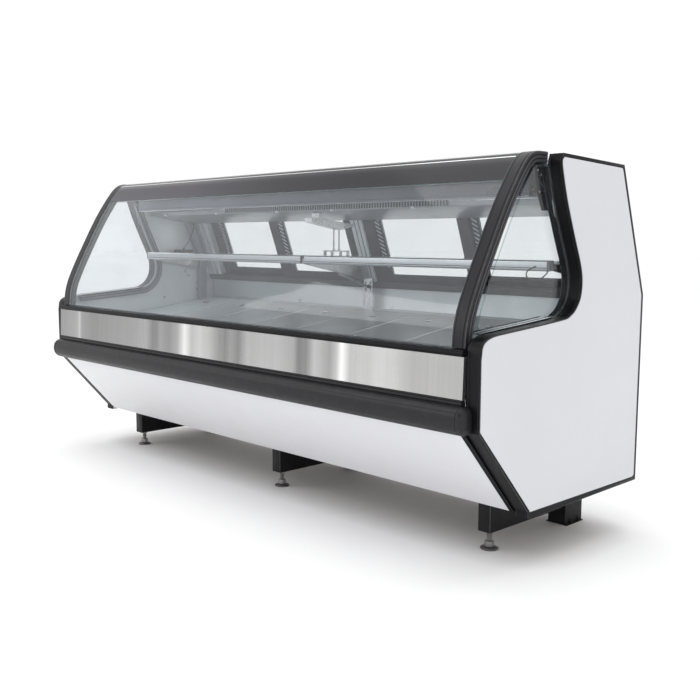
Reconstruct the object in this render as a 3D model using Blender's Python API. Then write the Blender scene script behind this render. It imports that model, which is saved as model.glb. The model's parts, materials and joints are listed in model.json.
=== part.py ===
"""Refrigerated deli display case, 2.5 m long, modelled as separate pieces.

Frame: metres, +Z up, +X along the case towards its right-hand end as the
customer sees it, +Y towards the server's side. The origin is on the floor,
under the middle of the case's bounding box.
"""
import math

import bmesh
import bpy
from mathutils import Matrix, Vector

# ---------------------------------------------------------------- dimensions
HALF_LENGTH = 1.256      # half the length over the two end bodies
END_THICK = 0.052        # thickness of an insulated end body
X_IN = HALF_LENGTH - END_THICK          # inner face of an end body
PROFILE_SHIFT = -0.06625  # the side profile's stations are moved by this to centre the depth

BODY_BOTTOM = 0.168      # underside of the body above the floor
FASCIA_TOP_Y, FASCIA_TOP_Z = -0.362, 0.6685
FASCIA_LOW_Y, FASCIA_LOW_Z = -0.367, 0.5458
END_FRONT_Y = -0.350     # front edge of an end body
PANEL_TOP = (-0.3486, 0.4406)           # lower front panel, top edge
PANEL_LOW = (-0.1095, 0.1720)           # lower front panel, bottom edge
PANEL_HALF = 1.1872      # half the length of the lower front panel
PANEL_T = 0.012

KINK = (0.528, 0.810)    # rear edge, where the slanted doors start
REAR_TOP = (0.375, 1.234)               # rear edge, top corner
TOP_FRONT = (0.027, 1.249)              # top edge, front corner

DECK_Z0, DECK_SLOPE = 0.625, 0.150      # display deck, height at station 0 and rise per metre
PAN_COUNT = 8
PAN_FRONT, PAN_REAR = -0.3165, 0.4585
PAN_HALF = 1.1975        # half the length of the row of pans
PAN_GAP = 0.0014
HOLE_Y = 0.345           # finger hole station
HOLE_R = 0.0125

PIVOT = (0.060, 1.160)   # front glass hinge axis
NOSE_R = 0.0915          # canopy nose, concentric with the hinge
GLASS_HALF = 1.1482      # half the width of the front glass
FRAME_IN, FRAME_OUT = 1.1490, 1.1970    # an end frame of the front glass
FRAME_DEPTH = 0.034
GLASS_T = 0.006
BAND_Z = 1.168           # lower edge of the opaque top band

DOOR_W = 0.560
DOOR_LOW, DOOR_HIGH = 0.0090, 0.4080    # along the slant, from the kink
STILE_GRIP, STILE_PLAIN = 0.100, 0.050
RAIL_LOW, RAIL_TOP = 0.039, 0.035
MULLION_HALF = 0.0345
OUTER_TRACK = (0.0060, 0.0200)          # depth of the outer doors behind the rear face
INNER_TRACK = (0.0262, 0.0402)
REAR_DEPTH = 0.0460

SHELF_TOP = 0.926
SHELF_T = 0.008
SHELF_FRONT, SHELF_REAR = 0.1165, 0.3800

LEG_X = (-1.0514, 0.0, 1.0514)
FOOT_Y = -0.0257
BEAM_LOW = 0.0605

# --------------------------------------------------------------------- tools
for old in list(bpy.data.objects):
    bpy.data.objects.remove(old, do_unlink=True)


def yy(station):
    return station + PROFILE_SHIFT


def material(name, colour, rough, metal=0.0, alpha=1.0):
    mat = bpy.data.materials.new(name)
    mat.use_nodes = True
    shader = mat.node_tree.nodes["Principled BSDF"]
    shader.inputs["Base Color"].default_value = (*colour, 1.0)
    shader.inputs["Roughness"].default_value = rough
    shader.inputs["Metallic"].default_value = metal
    shader.inputs["Alpha"].default_value = alpha
    mat.diffuse_color = (*colour, alpha)
    return mat


WHITE = ((0.80, 0.80, 0.82), 0.35, 0.0)
BLACK = ((0.045, 0.043, 0.048), 0.45, 0.0)
STEEL = ((0.62, 0.62, 0.62), 0.28, 1.0)
LINER = ((0.66, 0.69, 0.70), 0.32, 0.6)
GLASS = ((0.85, 0.92, 0.92), 0.03, 0.0, 0.3)
DARK = ((0.12, 0.12, 0.13), 0.4, 0.0)
ALU = ((0.72, 0.74, 0.75), 0.3, 1.0)
ZINC = ((0.55, 0.56, 0.57), 0.4, 0.9)
COPPER = ((0.55, 0.36, 0.25), 0.4, 0.9)


def finish(obj, look):
    """Give an object its own material."""
    obj.data.materials.clear()
    obj.data.materials.append(material(obj.name + "_finish", *look))
    return obj


def from_bmesh(name, bm, look=None, origin=(0, 0, 0)):
    bmesh.ops.recalc_face_normals(bm, faces=bm.faces)
    if origin != (0, 0, 0):
        bmesh.ops.translate(bm, verts=bm.verts, vec=-Vector(origin))
    mesh = bpy.data.meshes.new(name)
    bm.to_mesh(mesh)
    bm.free()
    obj = bpy.data.objects.new(name, mesh)
    bpy.context.scene.collection.objects.link(obj)
    obj.location = origin
    if look:
        finish(obj, look)
    return obj


def prism(name, outline, lo, hi, look=None, axis="x", origin=(0, 0, 0)):
    """Extrude a closed outline. On axis x it is (station, z); on y it is (x, z); on z it is (x, station)."""
    bm = bmesh.new()
    ring = []
    for a, b in outline:
        if axis == "x":
            ring.append(bm.verts.new((lo, yy(a), b)))
        elif axis == "y":
            ring.append(bm.verts.new((a, yy(lo), b)))
        else:
            ring.append(bm.verts.new((a, yy(b), lo)))
    face = bm.faces.new(ring)
    out = bmesh.ops.extrude_face_region(bm, geom=[face])
    move = {"x": (hi - lo, 0, 0), "y": (0, hi - lo, 0), "z": (0, 0, hi - lo)}[axis]
    bmesh.ops.translate(bm, verts=[v for v in out["geom"] if isinstance(v, bmesh.types.BMVert)], vec=move)
    return from_bmesh(name, bm, look, origin)


def block(name, x, y, z, look=None, origin=(0, 0, 0)):
    """A plain box from x, station and z ranges."""
    return prism(name, [(x[0], z[0]), (x[1], z[0]), (x[1], z[1]), (x[0], z[1])], y[0], y[1], look, "y", origin)


def rod(name, start, end, radius, sides=12, look=None, radius_end=None, origin=(0, 0, 0)):
    """A round bar between two points given as (x, station, z)."""
    a = Vector((start[0], yy(start[1]), start[2]))
    b = Vector((end[0], yy(end[1]), end[2]))
    bm = bmesh.new()
    way = (b - a).normalized()
    turn = Vector((0, 0, 1)).rotation_difference(way).to_matrix().to_4x4()
    bmesh.ops.create_cone(bm, cap_ends=True, segments=sides, radius1=radius,
                          radius2=radius if radius_end is None else radius_end, depth=(b - a).length,
                          matrix=Matrix.Translation((a + b) / 2) @ turn)
    return from_bmesh(name, bm, look, origin)


def tube(name, points, radius, sides=8, look=None):
    """A bent round lead or bar through smooth points given as (x, station, z), with flat ends."""
    path = [Vector((p[0], yy(p[1]), p[2])) for p in catmull(points, 5)]
    bm = bmesh.new()
    rings = []
    side = None
    for i, p in enumerate(path):
        way = (path[min(i + 1, len(path) - 1)] - path[max(i - 1, 0)]).normalized()
        side = way.orthogonal().normalized() if side is None else (side - way * side.dot(way)).normalized()
        up = way.cross(side)
        rings.append([bm.verts.new(p + radius * (math.cos(2 * math.pi * k / sides) * side
                                                 + math.sin(2 * math.pi * k / sides) * up)) for k in range(sides)])
    for a, b in zip(rings, rings[1:]):
        for k in range(sides):
            bm.faces.new((a[k], a[(k + 1) % sides], b[(k + 1) % sides], b[k]))
    bm.faces.new(rings[0][::-1])
    bm.faces.new(rings[-1])
    return from_bmesh(name, bm, look)


def turned(name, profile, centre, sides=20, look=None, origin=(0, 0, 0)):
    """Turn a (radius, z) profile, which starts and ends on the axis, about a vertical line at (x, station)."""
    bm = bmesh.new()
    cx, cy = centre[0], yy(centre[1])
    rings = []
    for r, z in profile:
        if r == 0:
            rings.append([bm.verts.new((cx, cy, z))])
        else:
            rings.append([bm.verts.new((cx + r * math.cos(2 * math.pi * k / sides),
                                        cy + r * math.sin(2 * math.pi * k / sides), z)) for k in range(sides)])
    for low, top in zip(rings, rings[1:]):
        for k in range(sides):
            n = (k + 1) % sides
            if len(low) == 1:
                bm.faces.new((low[0], top[n], top[k]))
            elif len(top) == 1:
                bm.faces.new((low[k], low[n], top[0]))
            else:
                bm.faces.new((low[k], low[n], top[n], top[k]))
    return from_bmesh(name, bm, look, origin)


def combine(obj, others, kind):
    """Boolean the others with obj, keep the result as obj's mesh, and take the others away."""
    for other in others:
        mod = obj.modifiers.new(kind.lower(), "BOOLEAN")
        mod.operation = kind
        mod.solver = "EXACT"
        mod.object = other
    bpy.context.view_layer.update()
    graph = bpy.context.evaluated_depsgraph_get()
    mesh = bpy.data.meshes.new_from_object(obj.evaluated_get(graph))
    mesh.name = obj.name
    obj.modifiers.clear()
    obj.data = mesh
    for other in others:
        bpy.data.objects.remove(other, do_unlink=True)
    return obj


def union(obj, *others):
    return combine(obj, others, "UNION")


def cut(obj, *others):
    return combine(obj, others, "DIFFERENCE")


def smooth(obj, angle=35):
    obj.data.shade_smooth()
    obj.data.set_sharp_from_angle(angle=math.radians(angle))
    return obj


def mirrored(outline_x):
    """Left-hand range from a right-hand (lo, hi) range along X."""
    return (-outline_x[1], -outline_x[0])


def catmull(points, steps):
    """A smooth curve through the points, with a number of steps on each span."""
    out = []
    ext = [points[0]] + list(points) + [points[-1]]
    for i in range(len(points) - 1):
        p0, p1, p2, p3 = ext[i], ext[i + 1], ext[i + 2], ext[i + 3]
        for k in range(steps):
            t = k / steps
            out.append(tuple(0.5 * (2 * b + (c - a) * t + (2 * a - 5 * b + 4 * c - d) * t * t
                                    + (3 * b - a - 3 * c + d) * t ** 3)
                             for a, b, c, d in zip(p0, p1, p2, p3)))
    out.append(points[-1])
    return out


def offset(path, dist):
    """Move an open path sideways, to its right as it is walked."""
    out = []
    for i, p in enumerate(path):
        a = path[max(i - 1, 0)]
        b = path[min(i + 1, len(path) - 1)]
        dy, dz = b[0] - a[0], b[1] - a[1]
        n = math.hypot(dy, dz)
        out.append((p[0] + dist * dz / n, p[1] - dist * dy / n))
    return out


def slant(s, n):
    """A point of the rear slant: s up the slant from the kink, n into the case."""
    run = (REAR_TOP[0] - KINK[0], REAR_TOP[1] - KINK[1])
    size = math.hypot(*run)
    uy, uz = run[0] / size, run[1] / size
    return (KINK[0] + s * uy - n * uz, KINK[1] + s * uz + n * uy)


def slant_bar(name, x, s, n, look=None, origin=(0, 0, 0)):
    return prism(name, [slant(s[0], n[0]), slant(s[1], n[0]), slant(s[1], n[1]), slant(s[0], n[1])],
                 x[0], x[1], look, origin=origin)


def deck(y):
    return DECK_Z0 + DECK_SLOPE * y


# ------------------------------------------------------------ end assemblies
# Cut-out for the side glass: from the top corner down its rear edge, round the corner and forward.
CUT_EDGE = [(0.0190, 1.2300), (0.0180, 1.2170), (0.0270, 1.1810), (0.0530, 1.1030), (0.0990, 0.9950),
            (0.1340, 0.9170), (0.1455, 0.8690), (0.1400, 0.8180), (0.1150, 0.7810), (0.0880, 0.7640),
            (0.0570, 0.7550), (-0.0820, 0.7430), (-0.2190, 0.7330), (-0.2970, 0.7260), (-0.3330, 0.7120),
            (-0.3455, 0.6950)]
END_OUTLINE = ([TOP_FRONT] + CUT_EDGE
               + [(END_FRONT_Y, 0.6620), (END_FRONT_Y, 0.4540), (-0.1090, 0.1810), (-0.1090, BODY_BOTTOM - 0.007),
                  (0.5250, BODY_BOTTOM), (KINK[0], KINK[1]), (REAR_TOP[0], REAR_TOP[1])])
# White skin: set in from the black edges.
SKIN_CUT = [(0.0200, 1.2290), (0.0205, 1.2170), (0.0295, 1.1817), (0.0553, 1.1040), (0.1013, 0.9960),
            (0.1364, 0.9177), (0.1480, 0.8690), (0.1424, 0.8172), (0.1167, 0.7792), (0.0888, 0.7616),
            (0.0572, 0.7525), (-0.0819, 0.7405), (-0.2188, 0.7305), (-0.2965, 0.7235), (-0.3318, 0.7098),
            (-0.3435, 0.6940)]
SKIN_OUTLINE = ([(0.0300, 1.2385)] + SKIN_CUT
                + [(-0.3478, 0.6620), (-0.3478, 0.4590), (-0.1030, 0.1860), (-0.1000, 0.1800),
                   (0.5130, 0.1810), (0.5170, 0.8080), (0.3660, 1.2240)])
# Glazing channel on the inner face, a strip along the cut-out.
CHANNEL_IN = [(0.0210, 1.2120)] + CUT_EDGE[2:13] + [(-0.2700, 0.7285)]
CHANNEL_OUT = [(p[0], p[1]) for p in offset(CHANNEL_IN, -0.029)]


dy, dz = PANEL_LOW[0] - PANEL_TOP[0], PANEL_LOW[1] - PANEL_TOP[1]
run = math.hypot(dy, dz)
IN_Y, IN_Z = PANEL_T * -dz / run, PANEL_T * dy / run
PANEL_OUTLINE = [PANEL_TOP, PANEL_LOW, (PANEL_LOW[0] + IN_Y, PANEL_LOW[1] + IN_Z * 0.35),
                 (PANEL_TOP[0] + IN_Y, PANEL_TOP[1] + IN_Z * 0.2)]


def end_body(name, x):
    """End wall, with the corner strip beside the front panel, the glazing channel, the skin's pocket and the hinge boss."""
    side = 1 if x[1] > 0 else -1
    body = prism(name, END_OUTLINE, x[0], x[1])
    strip_x = (PANEL_HALF + 0.0005, X_IN + 0.0020)
    union(body, prism("corner_strip", PANEL_OUTLINE, *(strip_x if side > 0 else mirrored(strip_x))))
    inner = (X_IN - 0.0235, X_IN + 0.002) if side > 0 else (-X_IN - 0.002, -X_IN + 0.0235)
    channel = prism("channel", CHANNEL_IN + CHANNEL_OUT[::-1], inner[0], inner[1])
    union(body, channel)
    pocket = (HALF_LENGTH - 0.0022, HALF_LENGTH + 0.01)
    if side < 0:
        pocket = mirrored(pocket)
    cut(body, prism("skin_pocket", SKIN_OUTLINE, pocket[0], pocket[1]))
    boss = rod("boss", (side * (X_IN + 0.004), PIVOT[0], PIVOT[1]), (side * (X_IN - 0.0215), PIVOT[0], PIVOT[1]), 0.017, 16)
    union(body, boss)
    return finish(body, BLACK)


END_X = (X_IN, HALF_LENGTH)
end_body("end_body_right", END_X)
end_body("end_body_left", mirrored(END_X))


def shrink(outline, d):
    """Pull a closed outline in by about d, corner by corner."""
    area = sum(a[0] * b[1] - b[0] * a[1] for a, b in zip(outline, outline[1:] + outline[:1]))
    sign = 1 if area > 0 else -1
    out = []
    n = len(outline)
    for i, p in enumerate(outline):
        a, b = outline[i - 1], outline[(i + 1) % n]
        e1 = Vector((p[0] - a[0], p[1] - a[1])).normalized()
        e2 = Vector((b[0] - p[0], b[1] - p[1])).normalized()
        n1, n2 = Vector((-e1.y, e1.x)) * sign, Vector((-e2.y, e2.x)) * sign
        m = n1 + n2
        m = m / max(m.dot(m) / 2, 0.35)
        out.append((p[0] + m.x * d, p[1] + m.y * d))
    return out


skin_x = (HALF_LENGTH - 0.0018, HALF_LENGTH - 0.0003)
prism("side_skin_right", shrink(SKIN_OUTLINE, 0.0005), skin_x[0], skin_x[1], WHITE)
prism("side_skin_left", shrink(SKIN_OUTLINE, 0.0005), -skin_x[1], -skin_x[0], WHITE)

# ------------------------------------------------- front glass and its frames
GLASS_PATH_PTS = [(-0.3485, 0.6895), (-0.3440, 0.7400), (-0.3310, 0.7900), (-0.3100, 0.8400), (-0.2820, 0.8970),
                  (-0.2470, 0.9630), (-0.2080, 1.0350), (-0.1690, 1.1020), (-0.1270, 1.1650), (-0.0980, 1.2040),
                  (-0.0760, 1.2290), (-0.0520, 1.2470), (-0.0240, 1.2555), (0.0030, 1.2568), (0.0300, 1.2565)]
GLASS_PATH = catmull(GLASS_PATH_PTS, 3)


def part_of(path, z_lo, z_hi, tail=False):
    """The stretch of the glass path between two heights, with ends cut exactly."""
    out = []
    for a, b in zip(path, path[1:]):
        for z in (z_lo, z_hi):
            if a[1] < z <= b[1]:
                t = (z - a[1]) / (b[1] - a[1])
                out.append((a[0] + t * (b[0] - a[0]), z))
        if z_lo < b[1] < z_hi or (tail and b[1] >= z_lo and b[0] > -0.06):
            if not out or math.dist(out[-1], b) > 0.004:
                out.append(b)
    return out


def strip(path, d0, d1):
    """Closed outline between two offsets of an open path."""
    return offset(path, d0) + offset(path, d1)[::-1]


PIV = (0.0, yy(PIVOT[0]), PIVOT[1])
lower_path = [GLASS_PATH[0]] + [p for p in part_of(GLASS_PATH, 0.6900, BAND_Z)]
smooth(prism("front_glass", strip(lower_path, 0.0012, 0.0012 + GLASS_T), -GLASS_HALF, GLASS_HALF, GLASS, origin=PIV))
upper_path = part_of(GLASS_PATH, BAND_Z + 0.0006, 2.0, tail=True)
smooth(prism("glass_top_band", strip(upper_path, 0.0002, 0.0072), -GLASS_HALF, GLASS_HALF, DARK, origin=PIV))


def glass_frame(name, side):
    x = (FRAME_IN, FRAME_OUT) if side > 0 else (-FRAME_OUT, -FRAME_IN)
    body = prism(name, strip(GLASS_PATH, 0.0, FRAME_DEPTH), x[0], x[1])
    arm_x = (1.1500, 1.1790) if side > 0 else (-1.1790, -1.1500)
    cy, cz = PIVOT
    arm = prism("arm", [(-0.020, 1.2350), (0.0280, 1.2350), (cy + 0.012, cz + 0.018), (cy + 0.020, cz + 0.004),
                        (cy + 0.016, cz - 0.014), (cy + 0.002, cz - 0.021), (cy - 0.014, cz - 0.016),
                        (-0.0120, 1.1900)], arm_x[0], arm_x[1])
    union(body, arm)
    obj = finish(body, BLACK)
    obj.data.transform(Matrix.Translation(-Vector(PIV)))
    obj.location = PIV
    return smooth(obj)


glass_frame("glass_frame_right", 1)
glass_frame("glass_frame_left", -1)

# Side glass: behind the frame, inside the cut-out.
behind = [p for p in offset(GLASS_PATH, FRAME_DEPTH - 0.0015)]
front_edge = [p for p in behind if 0.742 < p[1] < 1.2150 and p[0] < -0.020]
rear_edge = [(p[0] - 0.0006, p[1] + 0.0004) for p in CUT_EDGE[2:11]] + [(p[0], p[1] + 0.0008) for p in CUT_EDGE[11:13]]
side_outline = ([(-0.2895, 0.7285)] + front_edge + [(-0.0050, 1.2145), (0.0165, 1.2145)] + rear_edge)
pane_x = (X_IN + 0.0012, X_IN + 0.0072)
prism("side_glass_right", side_outline, pane_x[0], pane_x[1], GLASS)
prism("side_glass_left", side_outline, -pane_x[1], -pane_x[0], GLASS)

# -------------------------------------------------------- front of the body
prism("front_fascia", [(FASCIA_TOP_Y, FASCIA_TOP_Z), (FASCIA_LOW_Y, FASCIA_LOW_Z), (-0.3505, FASCIA_LOW_Z),
                       (-0.3505, FASCIA_TOP_Z)], -X_IN - 0.0015, X_IN + 0.0015, STEEL)
sill = prism("glass_sill", [(-0.3655, 0.6690), (-0.3665, 0.6760), (-0.3650, 0.6840), (-0.3600, 0.6872),
                            (-0.3060, 0.6872), (-0.3000, 0.6840), (-0.3000, 0.6690)], -X_IN + 0.0005, X_IN - 0.0005, BLACK)
BUMPER = [(-0.3505, 0.5453), (-0.3690, 0.5453), (-0.3690, 0.5285), (-0.3780, 0.5255), (-0.3880, 0.5185),
          (-0.3945, 0.5070), (-0.3970, 0.4930), (-0.3970, 0.4790), (-0.3940, 0.4660), (-0.3870, 0.4550),
          (-0.3770, 0.4480), (-0.3650, 0.4448), (-0.3505, 0.4445)]
smooth(prism("bumper_rail", BUMPER, -X_IN + 0.0003, X_IN - 0.0003, BLACK))


# Distance past the rail's end, then the size in height and in depth.
CAP_RINGS = ((0.0, 1.0, 1.0), (0.0080, 0.98, 1.0), (0.0160, 0.90, 0.98), (0.0210, 0.76, 0.93), (0.0245, 0.50, 0.85))


def bumper_cap(name, side):
    """The rail's own nose, drawn in towards its outer end like a thumb."""
    bm = bmesh.new()
    nose = BUMPER[3:]
    rings = []
    for dx, kz, ky in CAP_RINGS:
        ring = []
        for y, z in [(-0.3505, 0.5265)] + nose:
            ring.append(bm.verts.new((side * (X_IN + dx), yy(-0.3505 + (y + 0.3505) * ky), 0.4855 + (z - 0.4855) * kz)))
        rings.append(ring)
    n = len(rings[0])
    for a, b in zip(rings, rings[1:]):
        for i in range(n):
            bm.faces.new((a[i], a[(i + 1) % n], b[(i + 1) % n], b[i]))
    bm.faces.new(rings[0][::-1])
    bm.faces.new(rings[-1])
    return smooth(from_bmesh(name, bm, BLACK))


bumper_cap("bumper_cap_right", 1)
bumper_cap("bumper_cap_left", -1)

prism("lower_front_panel", PANEL_OUTLINE, -PANEL_HALF, PANEL_HALF, WHITE)

# ------------------------------------------------------------- insulated tub
TUB = [(-0.3498, 0.6685), (-0.3498, 0.4520), (0.5255, 0.4520), (0.5255, 0.7970), (0.4995, 0.7876),
       (0.4995, deck(0.4995) - 0.0035), (0.4600, deck(0.4600) - 0.0035), (0.4600, deck(0.4600) - 0.0260),
       (0.4500, deck(0.4500) - 0.0260), (0.4500, 0.5150), (-0.2900, 0.4950), (-0.2900, deck(-0.29) - 0.0260),
       (-0.3195, deck(-0.3195) - 0.0260), (-0.3195, 0.6685)]
prism("insulated_tub", TUB, -X_IN + 0.0005, X_IN - 0.0005, LINER)

# ---------------------------------------------------------------- deck pans
pitch = 2 * PAN_HALF / PAN_COUNT
for i in range(PAN_COUNT):
    x0 = -PAN_HALF + i * pitch + PAN_GAP / 2
    x1 = -PAN_HALF + (i + 1) * pitch - PAN_GAP / 2
    top = lambda y, d=0.0: (y, deck(y) - d)
    pan = prism("deck_pan_%d" % (i + 1), [top(PAN_FRONT), top(PAN_FRONT, 0.0255), top(PAN_REAR, 0.0255), top(PAN_REAR)], x0, x1)
    hollow = prism("hollow", [top(PAN_FRONT + 0.003, 0.003), top(PAN_FRONT + 0.003, 0.05), top(PAN_REAR - 0.003, 0.05),
                              top(PAN_REAR - 0.003, 0.003)], x0 + 0.003, x1 - 0.003)
    xm = (x0 + x1) / 2
    hole = rod("hole", (xm, HOLE_Y, deck(HOLE_Y) - 0.02), (xm, HOLE_Y, deck(HOLE_Y) + 0.02), HOLE_R, 12)
    cutters = [hollow, hole]
    if i == 0:
        cutters.append(block("notch", (x0 - 0.02, -1.1640), (0.3930, 0.50), (0.60, 0.80)))
    cut(pan, *cutters)
    finish(pan, LINER)

# ------------------------------------------------------------ canopy and coil
nose = []
for k in range(9):
    a = math.radians(114 - k * 8.2)
    nose.append((PIVOT[0] + NOSE_R * math.cos(a), PIVOT[1] + NOSE_R * math.sin(a)))
nose_body = [(nose[0][0], 1.1240)] + nose + [(0.1400, 1.2250), (0.1400, 1.2120), (0.0960, 1.2120), (0.0310, 1.2120),
                                             (0.0310, 1.1240)]
canopy = prism("canopy_top", nose_body, -1.1340, 1.1340)
union(canopy, prism("slab", [(0.1275, 1.2320), (0.3650, 1.2300), (0.3700, 1.2240), (0.3300, 1.2240), (0.3300, 1.2060), (0.1275, 1.2060)],
                    -X_IN + 0.0005, X_IN - 0.0005))
finish(smooth(canopy), LINER)

coil = block("evaporator_coil", (-1.10, 1.10), (0.150, 0.320), (1.1350, 1.2020))
cut(coil, *[block("fin_gap", (-1.075 + 0.115 * k, -1.075 + 0.115 * k + 0.095), (0.145, 0.325), (1.128, 1.152)) for k in range(19)])
finish(coil, ALU)

tray = prism("drip_tray", [(0.1270, 1.1250), (0.1270, 1.1060), (0.3600, 1.0730), (0.3600, 1.1050), (0.3560, 1.1050),
                           (0.3560, 1.0780), (0.1310, 1.1095), (0.1310, 1.1250)], -1.2000, 1.2000)
duct = prism("duct", [(0.4370, 0.5280), (0.4370, 0.9000), (0.3570, 1.0760), (0.3200, 1.0810), (0.3980, 0.9000), (0.3980, 0.5280)],
             -1.2000, -1.1680)
union(tray, duct)
finish(tray, LINER)

# --------------------------------------------------------- rear door surround
FULL = (-X_IN + 0.0005, X_IN - 0.0005)


def track(name, base, lip):
    """E-shaped rail: a base with three ribs that stand between the doors."""
    n0, n1 = 0.0020, REAR_DEPTH
    ribs = [(n0, 0.0045), (0.0216, 0.0246), (0.0422, n1)]
    pts = [slant(base[0], n0)]
    out = []
    for a, b in ribs:
        out += [slant(lip, a), slant(lip, b), slant(base[1], b)]
        if (a, b) != ribs[-1]:
            nxt = ribs[ribs.index((a, b)) + 1][0]
            out.append(slant(base[1], nxt))
    out = out[:-1]
    pts += out + [slant(base[0], n1)]
    return prism(name, pts, FULL[0], FULL[1], DARK)


track("door_track_bottom", (-0.0100, 0.0070), 0.0180)
track("door_track_top", (0.4400, 0.4130), 0.3990)
POST_S = (0.0190, 0.3980)
slant_bar("door_mullion", (-MULLION_HALF, MULLION_HALF), POST_S, (0.0020, REAR_DEPTH), ALU)
slant_bar("door_jamb_right", (MULLION_HALF + 2 * DOOR_W - 0.065 + 0.002, X_IN - 0.0005), POST_S, (0.0020, REAR_DEPTH), ALU)
slant_bar("door_jamb_left", (-X_IN + 0.0005, -(MULLION_HALF + 2 * DOOR_W - 0.065 + 0.002)), POST_S, (0.0020, REAR_DEPTH), ALU)


def rear_door(num, x0, lane):
    """Framed door: a wide stile with the finger grip, a plain stile and two rails, round one pane."""
    x1 = x0 + DOOR_W
    at = slant((DOOR_LOW + DOOR_HIGH) / 2, sum(lane) / 2)
    origin = ((x0 + x1) / 2, yy(at[0]), at[1])
    frame = slant_bar("rear_door_%d" % num, (x0, x1), (DOOR_LOW, DOOR_HIGH), lane)
    wx = (x0 + STILE_GRIP, x1 - STILE_PLAIN)
    ws = (DOOR_LOW + RAIL_LOW, DOOR_HIGH - RAIL_TOP)
    cut(frame, slant_bar("window", wx, ws, (lane[0] - 0.01, lane[1] + 0.01)),
        slant_bar("grip", (x0 + 0.072, x0 + 0.092), (0.10, 0.33), (lane[0] - 0.004, lane[0] + 0.004)))
    finish(frame, DARK)
    frame.data.transform(Matrix.Translation(-Vector(origin)))
    frame.location = origin
    mid = sum(lane) / 2
    slant_bar("rear_door_glass_%d" % num, (wx[0] + 0.0005, wx[1] - 0.0005), (ws[0] + 0.0005, ws[1] - 0.0005),
              (mid - 0.0025, mid + 0.0025), GLASS, origin=origin)


BAY = MULLION_HALF + 2 * DOOR_W - 0.065
rear_door(1, -BAY, OUTER_TRACK)
rear_door(2, -MULLION_HALF - 0.001 - DOOR_W, INNER_TRACK)
rear_door(3, MULLION_HALF + 0.001, INNER_TRACK)
rear_door(4, BAY - DOOR_W, OUTER_TRACK)

# --------------------------------------------------------------- the shelves
SHELF_X = (0.0060, 1.1740)
LEAD_R = 0.0022
# The right lamp's lead loops from under its end to its front face.
LEAD_RIGHT = [(1.1660, 0.0920, 0.8990), (1.1640, 0.0880, 0.8880), (1.1430, 0.0815, 0.8700), (1.1110, 0.0800, 0.8690),
              (1.0940, 0.0800, 0.8800), (1.0980, 0.0805, 0.8950), (1.1180, 0.0820, 0.9070), (1.1240, 0.0890, 0.9095)]
# The left lamp's lead hangs from under the drip tray to a connector on the shelf's end.
LEAD_LEFT = [(-1.1600, 0.3560, 1.0725), (-1.1600, 0.3520, 1.0450), (-1.1600, 0.3380, 1.0100), (-1.1610, 0.3150, 0.9720),
             (-1.1640, 0.3000, 0.9500), (-1.1650, 0.2960, 0.9360)]
for side, tag in ((1, "right"), (-1, "left")):
    x = SHELF_X if side > 0 else mirrored(SHELF_X)
    block("shelf_" + tag, x, (SHELF_FRONT, SHELF_REAR), (SHELF_TOP - SHELF_T, SHELF_TOP), GLASS)
    block_x = (0.0080, 1.1725) if side > 0 else (-1.1725, -0.0080)
    lamp = prism("shelf_lamp_" + tag, [(0.0880, 0.8950), (0.0850, 0.9000), (0.0850, 0.9240), (0.0890, 0.9290), (0.1120, 0.9290),
                                (0.1158, 0.9265), (0.1158, 0.9150), (0.1090, 0.9150), (0.1010, 0.8950)],
          block_x[0], block_x[1])
    if side > 0:
        union(lamp, tube("lead", LEAD_RIGHT, LEAD_R))
    finish(lamp, ALU)
    bx = (1.1755, 1.1797) if side > 0 else (-1.1797, -1.1755)
    plate = prism("shelf_bracket_" + tag, [(0.0930, 0.9170), (0.0930, 0.8980), (0.3780, 0.8450), (0.3900, 0.8450), (0.3900, 0.9170)],
                  bx[0], bx[1])
    foot_x = (1.1550, 1.1770) if side > 0 else (-1.1770, -1.1550)
    union(plate, block("tab", foot_x, (0.130, 0.3900), (0.9130, 0.9170)),
          block("base", (1.1770, 1.2036) if side > 0 else (-1.2036, -1.1770), (0.330, 0.3800), (0.860, 0.905)))
    if side < 0:
        union(plate, block("ear", (-1.1797, -1.1755), (0.2700, 0.3200), (0.9100, 0.9380)),
              block("connector", (-1.1780, -1.1600), (0.2450, 0.3500), (0.9270, 0.9400)), tube("lead", LEAD_LEFT, LEAD_R))
    finish(plate, BLACK if side > 0 else ZINC)

rear_hi, rear_lo = slant(0.130, REAR_DEPTH + 0.0008), slant(0.030, REAR_DEPTH + 0.0008)
centre = prism("shelf_bracket_centre", [(0.0900, 0.9165), (0.0900, 0.8950), (0.4300, 0.8240), (0.4600, 0.8240), (rear_lo[0] - 0.001, 0.8240),
                                        (rear_hi[0], 0.9165)], -0.0030, 0.0030)
union(centre, block("post", (-0.0260, 0.0260), (0.4620, 0.4700), (deck(0.470) - 0.0015, 0.8300)),
      block("sleeve", (-0.0300, 0.0300), (0.4600, 0.4712), (deck(0.471) - 0.0010, 0.7620)),
      rod("knob", (0.0090, 0.4500, 0.7920), (0.0090, 0.4640, 0.7920), 0.0080, 14),
      prism("brace", [(0.3000, 0.8540), (0.4640, 0.7970), (0.4640, 0.7860), (0.2880, 0.8480)], -0.0090, -0.0020))
finish(centre, ZINC)

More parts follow.
